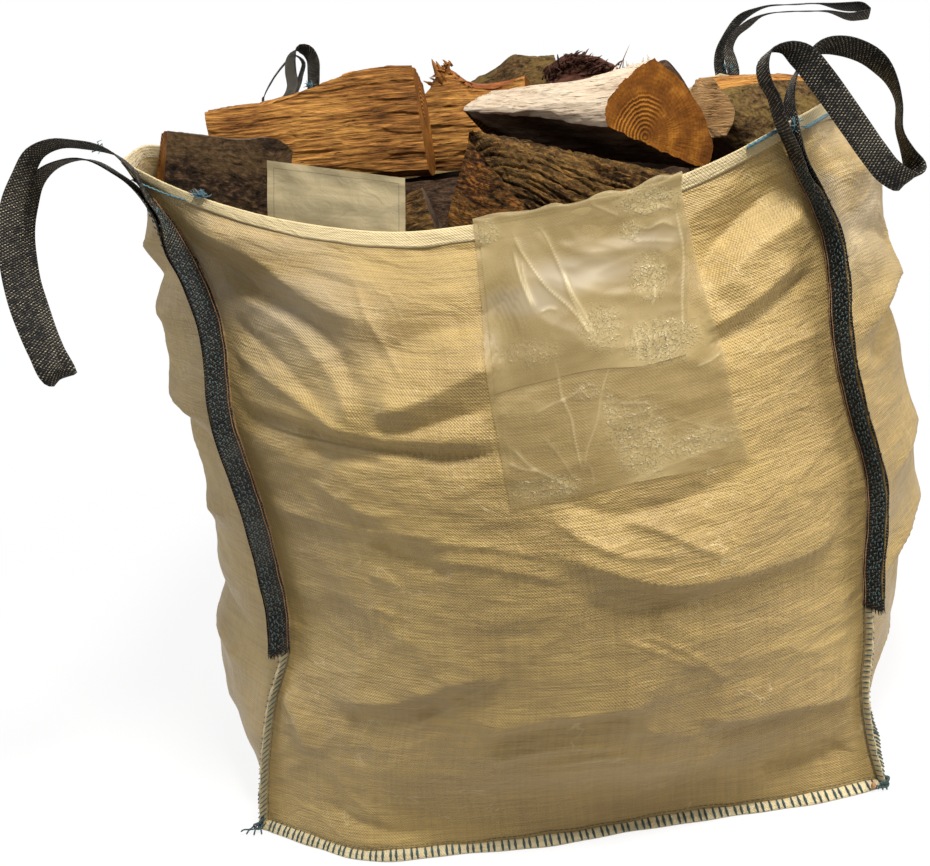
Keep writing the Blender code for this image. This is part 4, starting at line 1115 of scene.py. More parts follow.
tan_thread = thread_finish("tan_thread", TAN_DARK, TAN_LIGHT)
teal_dark = thread_finish("teal_thread_dark", STITCH_DARK, STITCH_LIGHT)

for corner in LOOPS:
    shares = np.arange(STRAP_SHARES[0] + 0.008, 0.935, COLUMN_PITCH)
    out = diagonal(corner, shares)
    beside = np.cross(out, UPWARD)
    stitches = []
    for face in (1, -1):
        proud = beside * face * LEG_FACE
        for column, place in enumerate(COLUMN_PLACES):
            reach = LEG_INSET + WEBBING_WIDTH / 2 * (1 + place)
            shift = 0.0018 * np.sin(shares * 733 + column * 2.1 + face)
            lean = 0.0022 * np.cos(shares * 511 + column * 1.7)[:, None]
            start = corner_line(corner, shares + shift) + out * reach + proud
            end = corner_line(corner, shares + shift + COLUMN_LENGTH) + out * (reach + lean) + proud
            stitches.append((start, end, beside * face * 0.0008))
        if corner.startswith("front"):
            steps = np.linspace(STRAP_SHARES[0], 0.95, 150)
            away = diagonal(corner, steps)
            off = np.cross(away, UPWARD) * face * LEG_FACE
            for number, inset in enumerate(EDGE_THREADS):
                wander = 0.0005 * np.sin(steps * 61 + number) + 0.0004 * np.sin(steps * 143)
                line = corner_line(corner, steps) + away * (LEG_INSET + inset + wander)[:, None] + off
                cord(f"{corner}_edge_thread_{number}_{face + 1}", line, EDGE_RADIUS, tan_thread, 4)
    bars(corner + "_stitches", *map(np.concatenate, zip(*stitches)), COLUMN_RADIUS, teal_dark)

# frayed lower ends of the legs
for corner in LOOPS:
    out = diagonal(corner)
    beside = np.cross(out, UPWARD)
    thread = np.arange(FRAY_COUNT)
    reach = LEG_INSET + WEBBING_WIDTH * np.linspace(0.03, 0.97, FRAY_COUNT)
    uneven = 0.5 + 0.5 * np.sin(thread * 2.4) * np.sin(thread * 0.9)
    for face in (1, -1):
        root = corner_line(corner, [STRAP_SHARES[0] + 0.001]) + out * reach[:, None]
        root = root + beside * face * LEG_OFFSET
        tip = root - UPWARD * (FRAY_LENGTH[0] + FRAY_LENGTH[1] * uneven)[:, None]
        tip = tip + out * 0.0015 * np.sin(reach * 900)[:, None]
        bars(f"{corner}_fray_{face + 1}", root, tip, beside * face * 0.0004, FRAY_RADIUS, webbing_black,
             FRAY_RINGS)

# thick teal thread along the rim beside the front corners
left_u, _, left_skin = cloth_grids["front_panel"]
rim = left_skin[:, -1]
rim_out = grid_normals(left_skin)[:, -1]
RIM_POINTS = 40


def along_rim(first, last, below, off):
    """A line beside the front rim between shares across, below it and off its face."""
    where = np.linspace(first, last, RIM_POINTS)
    points, face = read_line(where, left_u, rim), read_line(where, left_u, rim_out)
    sway = 0.0007 * np.sin(where * 900)[:, None] * UPWARD
    return points + face * off - UPWARD * np.asarray(below).reshape(-1, 1) + sway


falling = np.linspace(0.016, 0.01, RIM_POINTS)
cord("rim_thread_left", along_rim(0.012, 0.095, falling, 0.0046), 0.0011, teal_bright)
cord("rim_thread_right", along_rim(0.925, 0.99, 0.001, 0.003), 0.0023, teal_bright, 6)
side_u, _, side_skin = cloth_grids["right_panel"]
where = np.linspace(0.012, 0.115, 30)
side_line = read_line(where, side_u, side_skin[:, -1])
side_face = read_line(where, side_u, grid_normals(side_skin)[:, -1])
cord("rim_thread_side", side_line + side_face * 0.0055 - (0, 0, 0.013), 0.0024, teal_bright, 6)


TUFT_RADIUS = 0.0008
TUFT_BOW = 0.002  # how far a thread bows
TUFT_LIFT = (0, 0, 0.004)  # added to every thread's direction, so that most of them rise


def tuft(name, middle, spread, count, length, seed):
    """A tuft of loose thread ends that stand out from one place."""
    rng = np.random.default_rng(seed)
    root = middle + rng.normal(0, 0.25, (count, 3)) * spread
    way = unit(rng.normal(0, 1, (count, 3)) * spread + TUFT_LIFT)
    bars(name, root, root + way * length * rng.uniform(0.5, 1, (count, 1)),
         rng.normal(0, TUFT_BOW, (count, 3)), TUFT_RADIUS, teal_bright)


tuft("left_rim_tuft", rim[31] + rim_out[31] * 0.004 + (0, 0, 0.004), (0.012, 0.004, 0.005), 34, 0.013, 5)
tuft("left_strap_tuft", (-0.452, -0.462, 1.047), (0.006, 0.003, 0.006), 14, 0.01, 6)
tuft("right_strap_tuft", corner_line("front_right", [0.985])[0] + (0.006, -0.012, 0.006),
     (0.006, 0.004, 0.016), 40, 0.014, 7)
tuft("back_right_tuft", (0.42, 0.43, 0.972), (0.008, 0.004, 0.006), 20, 0.012, 8)
tuft("back_left_tuft", (-0.362, 0.43, 1.058), (0.007, 0.004, 0.005), 18, 0.011, 9)

# knotted tails of the seam thread at the lower corners: the knot's size and the tails' reach
KNOTS = (("front_left", 0.0088, 0.032), ("front_right", 0.0066, 0.016))
KNOT_OFF = 0.013  # from the corner
KNOT_RADIUS = 0.0019
TAIL_RADIUS = 0.0013
TAIL_COUNT = 4
for corner, size, drop in KNOTS:
    foot = corner_line(corner, [0.0])[0] + diagonal(corner)[0] * KNOT_OFF
    turn = np.linspace(0, 5.5 * np.pi, 90)
    knot = foot + np.stack([
        size * np.sin(turn) * np.cos(turn * 0.37),
        size * 0.8 * np.cos(turn) - 0.002,
        0.003 + size * (0.9 + 0.8 * np.sin(turn * 0.61 + 1)),
    ], 1)
    cord(corner + "_knot", knot, KNOT_RADIUS, teal_thread, 6)
    fall = np.linspace(0, 1, 24)
    for number in range(TAIL_COUNT):
        swing = 0.4 * number - 0.9
        tail = foot + np.stack([
            drop * fall * np.sin(swing) - 0.004 * fall, -drop * fall * np.cos(swing) * 0.6,
            0.006 * (1 - fall) + 0.0022 + 0.002 * np.sin(fall * 9 + number),
        ], 1)
        cord(f"{corner}_tail_{number}", tail, TAIL_RADIUS, teal_thread)
# a frayed end of the orange core thread hangs beside the right knot
core = corner_line("front_right", [0.0])[0] + np.array([
    (-0.008, -0.014, 0.012), (-0.01, -0.018, 0.01), (-0.011, -0.02, 0.006), (-0.011, -0.021, 0.003),
])
cord("front_right_core", core, np.array([0.002, 0.0034, 0.0038, 0.003]), tan_thread, 6)

# --- label ---
# A blank ticket of translucent paper, held by its lower edge under the front hem.
LABEL_CORNERS = (  # lower left, lower right, upper left and upper right, in millimetres
    (-263, -440, 908), (-86, -446, 872), (-242, -452, 1002), (-72, -456, 955),
)
LABEL_SIZE = (0.182, 0.092)
LABEL_GRID = (46, 26)
LABEL_CURL = 0.006
LABEL_WAVE = 0.0022
LABEL_BEND = 0.004  # how far its lower edge is drawn in
LABEL_MARGIN = 0.0085  # from the ticket's edge to its thin frame
LABEL_PALE = (0.58, 0.49, 0.3)
LABEL_SHADE = (0.4, 0.32, 0.17)
LABEL_FRAME = (0.16, 0.14, 0.1)
paper = Finish("ticket_paper", Roughness=0.42, Specular_IOR_Level=0.5)
x, y, _ = paper.apart(paper.laid())
gaps = [paper.away(value, 0.5 * size) - (0.5 * size - LABEL_MARGIN)
        for value, size in zip((x, y), LABEL_SIZE)]
outer = paper.math("MAXIMUM", *gaps)
rule = 1 - paper.between(paper.math("ABSOLUTE", outer), 0.0002, 0.0009)
mottle = paper.noise(paper.laid(), 38.0, 4.0, 0.6, 0.7)
streaks = paper.noise(paper.laid((14, 120, 1), 0.6), 1.0, 3.0, 0.6, 0.4)
paper_tone = mottle * 0.5 + paper.between(streaks, 0.3, 0.7) * 0.5
paper_colour = paper.mix(paper_tone, LABEL_SHADE, LABEL_PALE)
paper_colour = paper.mix(rule * 0.55, paper_colour, LABEL_FRAME)
paper.set(Base_Color=paper_colour, Normal=paper.bump(mottle, 0.0016))
u, v = np.meshgrid(np.linspace(0, 1, LABEL_GRID[0]), np.linspace(0, 1, LABEL_GRID[1]), indexing="ij")
low_left, low_right, top_left, top_right = (np.array(place) / 1000 for place in LABEL_CORNERS)
across, up = u[..., None], v[..., None]
grid = (low_left * (1 - across) + low_right * across) * (1 - up)
grid = grid + (top_left * (1 - across) + top_right * across) * up
wave = LABEL_WAVE * drift(u * 5, v * 3, 41)
grid[..., 1] += LABEL_CURL * (u - 0.5) * v + wave - LABEL_BEND * (1 - v) ** 2
laid = np.stack([u * LABEL_SIZE[0], v * LABEL_SIZE[1]], -1)
ticket = grid_piece("ticket", grid, laid, [paper.material])
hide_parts("label")

# --- document pouch ---
# A clear film pocket hung over the front rim: a long back sheet, and a shorter front sheet over its
# upper part. The film hides the weave, creases sharply and is crinkled in patches.
POUCH_GRID = (180, 195)
FLAP_GRID = (150, 112)
POUCH_CUT = (0.29, 0.34)
FLAP_CUT = (0.25, 0.19)
FILM_STAND = 0.0032
FLAP_STAND = 0.0037
# Edges as level place and height on the front panel in millimetres, upward or to the right.
POUCH_LEFT = ((13, 552), (8, 647), (3, 718), (5, 795), (6, 900))
POUCH_RIGHT = ((312, 556), (299, 627), (292, 704), (276, 788), (266, 900))
POUCH_LOW = ((13, 552), (104, 558), (175, 562), (240, 560), (312, 556))
FLAP_LEFT = ((10, 690), (12, 795), (12, 900))
FLAP_RIGHT = ((247, 700), (252, 732), (261, 784), (267, 900))
FLAP_LOW = ((10, 690), (80, 698), (139, 702), (190, 697), (247, 700))
# Creases of each sheet: level places and heights along them in millimetres, and their strength.
POUCH_CREASES = (
    ((84, 746, 90, 709, 92, 678, 100, 650, 101, 630, 107, 572), 1.0),
    ((161, 717, 148, 694, 140, 676, 131, 645, 113, 607, 106, 575), 0.8),
    ((50, 660, 79, 671, 95, 675, 130, 690), 0.7),
    ((12, 634, 27, 622, 40, 605, 50, 596, 68, 585, 84, 572, 107, 562), 1.0),
    ((60, 640, 80, 610, 94, 581, 101, 567), 0.6),
    ((13, 611, 26, 603, 44, 596, 55, 594), 0.8),
    ((154, 660, 173, 658, 200, 653), 0.8),
    ((200, 653, 190, 625, 170, 600), 0.5),
    ((255, 684, 275, 687, 292, 693), 0.9),
    ((205, 640, 250, 615, 305, 590), 0.6),
    ((150, 560, 200, 572, 260, 580, 308, 576), 0.6),
    ((112, 600, 118, 580, 116, 562), 0.6),
)
FLAP_CREASES = (
    ((52, 880, 56, 862, 66, 838, 86, 805, 118, 769, 143, 726), 1.1),
    ((76, 884, 91, 864, 104, 832, 116, 790, 128, 759, 142, 726), 0.9),
    ((109, 824, 118, 795, 132, 762, 146, 726), 1.0),
    ((52, 850, 57, 819, 70, 776), 1.0),
    ((60, 838, 63, 813, 75, 774), 0.8),
    ((74, 774, 90, 777, 100, 773), 0.8),
    ((200, 860, 220, 852, 239, 856, 258, 846), 0.9),
    ((200, 878, 222, 870, 242, 874, 258, 866), 0.7),
    ((150, 892, 170, 881, 190, 869), 0.8),
    ((195, 838, 231, 835, 257, 829), 0.6),
    ((216, 805, 220, 781, 211, 758), 0.8),
    ((186, 745, 190, 718, 187, 697), 0.7),
    ((256, 880, 258, 820, 250, 760, 243, 704), 1.1),
    ((206, 744, 204, 720, 202, 698), 0.6),
    ((225, 742, 226, 718, 222, 696), 0.6),
)
# Crinkled patches: level place, height, half width and half height in millimetres, and strength.
CRINKLED = (
    (225, 884, 40, 16, 1.0), (200, 852, 14, 12, 0.9), (215, 795, 24, 24, 0.9), (222, 722, 45, 26, 1.0),
    (182, 612, 34, 46, 1.0), (252, 594, 55, 16, 0.9), (60, 573, 45, 16, 0.9), (22, 872, 16, 14, 0.8),
    (150, 748, 26, 26, 0.7), (122, 682, 16, 12, 0.8), (150, 640, 12, 40, 0.8), (60, 730, 40, 16, 0.4),
)
# Hazy patches, given likewise.
HAZY = ((60, 790, 55, 18, 1.0), (130, 812, 70, 22, 0.9), (225, 838, 45, 14, 0.7))
CREASE_WIDTH = 0.0018
# How far creases, crinkles and slow swellings stand out, and how far the free edges curl.
CREASE_STAND = 0.001
CRINKLE_STAND = 0.0007
FILM_SWELL = 0.0008
LOW_EDGE_CURL = 0.0004
SIDE_EDGE_CURL = 0.0016
FILM_BACK = 0.01  # how far a sheet reaches back over the rim
FILM_OVER = 0.016  # how much of a sheet lies over the rim
FILM_DARK = (0.33, 0.24, 0.098)
FILM_LIGHT = (0.53, 0.41, 0.19)
FILM_HAZE = (0.4, 0.335, 0.225)
# colour of the highlights painted on the film's creases and crinkles
FILM_PAINTED_HIGHLIGHT = (0.82, 0.7, 0.42)


def film_finish():
    """Clear film: an even veil that hides the weave, grey haze, and highlights painted on creases and
    crinkles.
    """
    film = Finish("creased_film", Roughness=0.46, Specular_IOR_Level=0.42)
    flat = film.laid()
    swirl = film.noise(flat, 24.0, 3.0, 0.6, 1.2)
    shift = film.node("ShaderNodeVectorMath", {"operation": "SCALE"}, {"Vector": swirl, "Scale": 0.03})
    shifted = film.node("ShaderNodeVectorMath", {"operation": "ADD"}, (flat, shift))
    cells = film.node(
        "ShaderNodeTexVoronoi", {"feature": "DISTANCE_TO_EDGE"}, {"Vector": shifted, "Scale": 190.0}
    )
    fine = film.noise(flat, 210.0, 3.0, 0.6, 0.8)
    lines = (1 - film.between(cells, 0.0, 0.16)) * film.between(fine, 0.38, 0.66)
    crinkled = film.own("crinkled")
    sharp = film.math("POWER", film.own("creased"), 2.0)
    # painted glints and highlights: where the film is crinkled, along its fine lines and along its creases
    glitter = film.between(fine * 0.6 + swirl * 0.4, 0.5, 0.6) * crinkled * 0.3
    painted_highlight = glitter + lines * film.between(crinkled + swirl * 0.5, 0.4, 1.0) * 0.6 + sharp * 0.55
    broad = film.noise(flat, 9.0, 3.0, 0.5, 0.6)
    veil = film.mix(film.between(broad + crinkled * 0.25, 0.34, 0.8), FILM_DARK, FILM_LIGHT)
    veil = film.mix(film.own("hazy") * 0.65, veil, FILM_HAZE)
    colour = film.mix(painted_highlight, veil, FILM_PAINTED_HIGHLIGHT)
    cover = 0.46 + painted_highlight * 0.34 + film.own("hazy") * 0.12 + broad * 0.1
    return film.set(
        Base_Color=colour, Alpha=cover, Normal=film.bump(lines * crinkled + broad * 0.5, 0.0022)
    )


creased_film = film_finish()


def sample(grid, u, v):
    """Values of a grid at shares u across and v up, by the four nearest points."""
    columns, rows = grid.shape[:2]
    across, up = np.clip(u, 0, 1) * (columns - 1), np.clip(v, 0, 1) * (rows - 1)
    i, j = np.minimum(across.astype(int), columns - 2), np.minimum(up.astype(int), rows - 2)
    s, t = (across - i)[..., None], (up - j)[..., None]
    low = grid[i, j] * (1 - s) + grid[i + 1, j] * s
    high = grid[i, j + 1] * (1 - s) + grid[i + 1, j + 1] * s
    return low * (1 - t) + high * t


FRONT_WIDTH = 0.84  # about the front panel's width and height, which set the steps below
FRONT_HEIGHT = 0.92


def find(grid, places):
    """Shares across and up at which the front skin passes level places and heights, by small steps."""
    level, height = np.asarray(places, float).T
    u, v = np.full_like(level, 0.5), np.full_like(level, 0.5)
    for _ in range(24):
        at = sample(grid, u, v)
        u = u + (level - at[..., 0]) / FRONT_WIDTH
        v = np.minimum(v + (height - at[..., 2]) / FRONT_HEIGHT, 1.0)
    return u, v


def patches(level, height, spots):
    """Soft-edged oval patches: strength * exp(-d^4), d being the distance in half sizes."""
    total = np.zeros_like(level)
    for *sizes, strength in spots:
        x, z, wide, tall = np.array(sizes) / 1000
        reach = ((level - x) / wide) ** 2 + ((height - z) / tall) ** 2
        total = np.maximum(total, strength * np.exp(-(reach**2)))
    return total


def film_piece(name, size, cut, edges, creases, stand, seed):
    """A sheet of film on the front panel between its left, right and low edges, and over the rim.

    It stands off the cloth by stand plus its creases and crinkles, and ripples over the rim.
    """
    _, _, skin = cloth_grids["front_panel"]
    left, right, low = (np.array(edge) / 1000 for edge in edges)
    s, t = np.linspace(0, 1, size[0]), np.linspace(0, 1, size[1])
    _, low_v = find(skin, along(low, size[0]))
    side_u = []
    for edge in (left, right):
        edge_u, edge_v = find(skin, along(edge, 60))
        side_u.append(lambda v, at=edge_v, value=edge_u: np.interp(v, at, value))
    over_t = 1 - FILM_OVER / cut[1]
    v = low_v[:, None] + (1 - low_v[:, None]) * np.minimum(t / over_t, 1)
    u = side_u[0](v) * (1 - s[:, None]) + side_u[1](v) * s[:, None]
    points = sample(skin, u, v)
    out = sample(grid_normals(skin), u, v)
    level, height = points[..., 0], points[..., 2]
    crinkled, hazy = patches(level, height, CRINKLED), patches(level, height, HAZY)
    folds = [(line, part, CREASE_WIDTH, CREASE_WIDTH) for line, part in creases]
    creased = fold_height(level, height, folds)
    relief = CREASE_STAND * creased + CRINKLE_STAND * crinkled * ridged(level * 70, height * 70, seed)
    relief = relief + FILM_SWELL * drift(level * 24, height * 24, seed + 1)
    edge = np.minimum(s, 1 - s)[:, None]
    curled = ease(drift(level * 17, height, seed + 2), -0.2, 0.8)
    relief = relief + LOW_EDGE_CURL * (1 - ease(t, 0, 0.06)) * curled
    curled = ease(drift(level, height * 21, seed + 3), 0, 0.8)
    relief = relief + SIDE_EDGE_CURL * (1 - ease(edge, 0, 0.05)) * curled
    past = np.clip((t - over_t) / (1 - over_t), 0, 1)
    crest = 0.75 + 0.55 * drift(level * 30, level * 0 + 0.5, seed + 4)
    points = points + out * (stand + relief + 0.0015 * ease(t, 0.88, over_t) - FILM_BACK * past)[..., None]
    points[..., 2] += (0.0075 * np.sin(np.pi * past**0.8) + 0.002 * ease(t, 0.95, over_t)) * crest
    points[..., 1] += 0.0035 * past * drift(level * 45, past * 2 + level * 0, seed + 5)
    laid = np.stack(np.meshgrid(s * cut[0], t * cut[1], indexing="ij"), -1)
    sheet = grid_piece(name, points, laid, [creased_film])
    kinds = {
        "crinkled": np.maximum(crinkled, past * 0.9), "hazy": np.maximum(hazy, past * 0.8),
        "creased": np.clip(creased, 0, 1),
    }
    for kind, values in kinds.items():
        stored = sheet.data.attributes.new(kind, "FLOAT", "POINT")
        stored.data.foreach_set("value", np.ascontiguousarray(np.broadcast_to(values, level.shape)).ravel())
    return sheet


pouch = film_piece("pouch_film", POUCH_GRID, POUCH_CUT, (POUCH_LEFT, POUCH_RIGHT, POUCH_LOW),
                   POUCH_CREASES, FILM_STAND, 61)
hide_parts("document_pouch")
film_piece("pouch_flap", FLAP_GRID, FLAP_CUT, (FLAP_LEFT, FLAP_RIGHT, FLAP_LOW), FLAP_CREASES,
           FLAP_STAND, 71)

# --- logs ---
# Split hardwood: torn, fibrous faces, bark on the round side, and sawn ends with growth rings.
# The logs on top are shaped one by one; those under them are plain halves, wedges and rounds.
WOOD_CREASE = 0.9  # edges that bend more than this stay crisp
WORN_GREY = (0.33, 0.27, 0.2)
RING_PITCH = 0.006  # from one growth ring to the next


def split_wood_finish(name, light, middle, dark, streak=0.35, grey=0.0):
    """A torn face: long fibres in several browns, dark cracks along them, and greyer weathered parts."""
    wood = Finish(name, Roughness=0.76, Specular_IOR_Level=0.18)
    fibre = wood.grain((34, 420), 1.0, 4.0, 0.7, 0.15)
    broad = wood.grain((6, 40), 1.0, 4.0, 0.62, 0.25)
    patch = wood.grain((7, 13), 1.0, 3.0, 0.6)
    tone = fibre * 0.44 + broad * 0.28 + patch * 0.28
    colour = wood.ramp(tone, (0.37, dark), (0.48, middle), (0.62, light))
    crack = wood.grain((30, 330), 1.0, 3.0, 0.6, 0.2)
    split = 1 - wood.between(crack, 0.31, 0.4)
    knot = wood.between(wood.grain((16, 40), 1.0, 4.0, 0.7, 1.2), 0.6, 0.72)
    shade = wood.mix(split * 0.8 + knot * streak, colour, tuple(0.25 * c for c in dark))
    if grey:
        worn = wood.between(wood.grain((10, 30), 1.0, 4.0, 0.6), 0.42, 0.62)
        shade = wood.mix(worn * grey, shade, WORN_GREY)
    relief = fibre + broad * 0.8 - split * 0.6
    gloss = wood.between(tone, 0.3, 0.7, 0.85, 0.66)
    return wood.set(Base_Color=shade, Roughness=gloss, Normal=wood.bump(relief, 0.003))


def bark_finish(name, light, middle, dark, plates=(34, 85), moss=None, mossy=0.0, relief=0.0045):
    """Bark: plates between dark furrows along the log, mottled, with moss or lichen in patches."""
    bark = Finish(name, Roughness=0.9, Specular_IOR_Level=0.1)
    crust = bark.grain(plates, 1.0, 5.0, 0.7, 0.45)
    grain = bark.grain((150, 230), 1.0, 3.0, 0.6)
    patch = bark.grain((13, 17), 1.0, 4.0, 0.6, 0.6)
    tone = crust * 0.55 + grain * 0.33 + patch * 0.12
    colour = bark.ramp(tone, (0.38, dark), (0.5, middle), (0.62, light))
    if moss:
        grown = bark.between(patch + grain * 0.3, 0.52, 0.78) * mossy
        colour = bark.mix(grown, colour, moss)
    furrow = 1 - bark.between(crust, 0.34, 0.44)
    colour = bark.mix(furrow * 0.7, colour, tuple(0.35 * c for c in dark))
    return bark.set(Base_Color=colour, Normal=bark.bump(crust + grain * 0.7, relief))


def end_finish(name, light, middle, dark):
    """A sawn end: growth rings round the pith, fine rays across them, and saw marks."""
    end = Finish(name, Roughness=0.76, Specular_IOR_Level=0.1)
    flat = end.laid()
    x, y, _ = end.apart(flat)
    wobble = end.noise(flat, 24.0, 3.0, 0.55)
    distance = end.math("SQRT", x * x + y * y + 0.0000001)
    phase = (distance + (wobble - 0.5) * 0.006) * (2 * math.pi / RING_PITCH)
    wave = end.math("SINE", phase)
    inner = (1 - end.between(distance, 0.05, 0.064)) * end.between(y - x * 1.3, -0.03, 0.02)
    faint = end.math("MAXIMUM", inner, 0.1)
    angle = end.math("ARCTAN2", y, x)
    ray_place = end.node("ShaderNodeCombineXYZ", {}, (angle * 26.0, distance * 60.0, 0.0))
    rays = end.noise(ray_place, 1.0, 3.0, 0.6)
    broad = end.noise(flat, 30.0, 4.0, 0.6)
    tone = wave * faint * 0.15 + rays * 0.18 + broad * 0.58 + 0.12
    colour = end.ramp(tone, (0.3, dark), (0.5, middle), (0.72, light))
    rim = end.between(distance, 0.085, 0.125)
    colour = end.mix(rim * 0.35, colour, dark)
    return end.set(Base_Color=colour, Normal=end.bump(wave * faint * 0.3 + rays + broad, 0.0014))


# Light, middle and dark of each torn face, how streaked it is and how grey.
WOOD_COLOURS = {
    "orange": ((0.62, 0.31, 0.072), (0.26, 0.104, 0.023), (0.046, 0.019, 0.008)),
    "red_orange": ((0.42, 0.15, 0.045), (0.24, 0.075, 0.022), (0.07, 0.022, 0.009)),
    "pale": ((0.8, 0.69, 0.54), (0.64, 0.51, 0.37), (0.26, 0.17, 0.1), 0.3),
    "fibrous": ((0.84, 0.54, 0.27), (0.54, 0.3, 0.12), (0.1, 0.05, 0.02)),
    "dull": ((0.16, 0.095, 0.05), (0.075, 0.04, 0.021), (0.022, 0.012, 0.007), 0.3, 0.25),
    "dark_torn": ((0.19, 0.075, 0.042), (0.07, 0.028, 0.018), (0.014, 0.008, 0.007)),
}
# Light, middle and dark of each bark, its waves per metre along and round the log, the colour of
# its lichen, how far that covers it, and its relief.
BARK_COLOURS = {
    "grey_bark": ((0.11, 0.064, 0.032), (0.026, 0.015, 0.009), (0.007, 0.005, 0.003), (60, 110),
                  (0.085, 0.052, 0.022), 0.5, 0.002),
    "furrowed_bark": ((0.26, 0.13, 0.036), (0.048, 0.024, 0.009), (0.004, 0.003, 0.002), (34, 150),
                      (0.165, 0.098, 0.03), 0.35, 0.006),
    "rusty_bark": ((0.34, 0.13, 0.026), (0.062, 0.026, 0.009), (0.007, 0.004, 0.003), (34, 110),
                   (0.2, 0.11, 0.03), 0.3, 0.006),
    "mossy_bark": ((0.17, 0.1, 0.04), (0.07, 0.04, 0.016), (0.016, 0.01, 0.005), (60, 90),
                   (0.17, 0.115, 0.034), 0.6, 0.0032),
    "brown_bark": ((0.12, 0.07, 0.04), (0.048, 0.028, 0.017), (0.014, 0.009, 0.006)),
}
END_COLOURS = {  # light, middle and dark
    "orange_end": ((0.4, 0.165, 0.02), (0.16, 0.054, 0.006), (0.05, 0.015, 0.003)),
    "brown_end": ((0.3, 0.15, 0.06), (0.16, 0.07, 0.026), (0.06, 0.026, 0.012)),
}
WOODS = {name: split_wood_finish(name + "_wood", *colours) for name, colours in WOOD_COLOURS.items()}
BARKS = {name: bark_finish(name, *colours) for name, colours in BARK_COLOURS.items()}
ENDS = {name: end_finish(name, *colours) for name, colours in END_COLOURS.items()}
LOG_FINISHES = {**WOODS, **BARKS, **ENDS}


def wood_relief(kind, x, y, seed):
    """How far a face stands out at distances x along the log and y round it.

    Torn wood has long fibres and steps, furrowed bark has grooves where a bent noise crosses
    nought, and other bark has low lumps.
    """
    if kind in WOODS:
        bend = 0.0008 * drift(x * 9, y * 6, seed + 5)
        fibres = 0.0011 * ridged(x * 13, (y + bend) * 120, seed)
        fibres = fibres + 0.0009 * drift(x * 34, (y + bend) * 230, seed + 1)
        steps = 0.0017 * ease(drift(x * 8, (y + bend) * 48, seed + 2), -0.02, 0.06)
        return fibres + steps + 0.0018 * drift(x * 9, y * 14, seed + 3) - 0.0015
    if kind == "furrowed_bark":
        bend = 0.004 * drift(x * 14, y * 12, seed + 5)
        groove = np.abs(drift(x * 11, (y + bend) * 78, seed))
        cross = np.abs(drift(x * 50, (y + bend) * 36, seed + 1))
        lumps = 0.002 * drift(x * 70, y * 110, seed + 2)
        fine = 0.0022 * np.abs(drift(x * 60, (y + bend) * 150, seed + 3))
        return 0.0058 * ease(groove, 0.0, 0.24) + 0.003 * ease(cross, 0.0, 0.16) + fine + lumps - 0.008
    lumps = 0.0026 * drift(x * 14, y * 18, seed) + 0.0018 * ridged(x * 24, y * 46, seed + 1)
    return lumps + 0.0008 * drift(x * 90, y * 120, seed + 2)


FULL_BOW = 0.28  # a side that bows more than this share of its chord is round, like a half circle
SLANT_REACH = 0.35  # share of the length over which an end's slant fades
END_ROUGHNESS = 0.0012
PATTERN_SHIFT = 0.37  # between two logs' patterns, so that no two show the same stretch


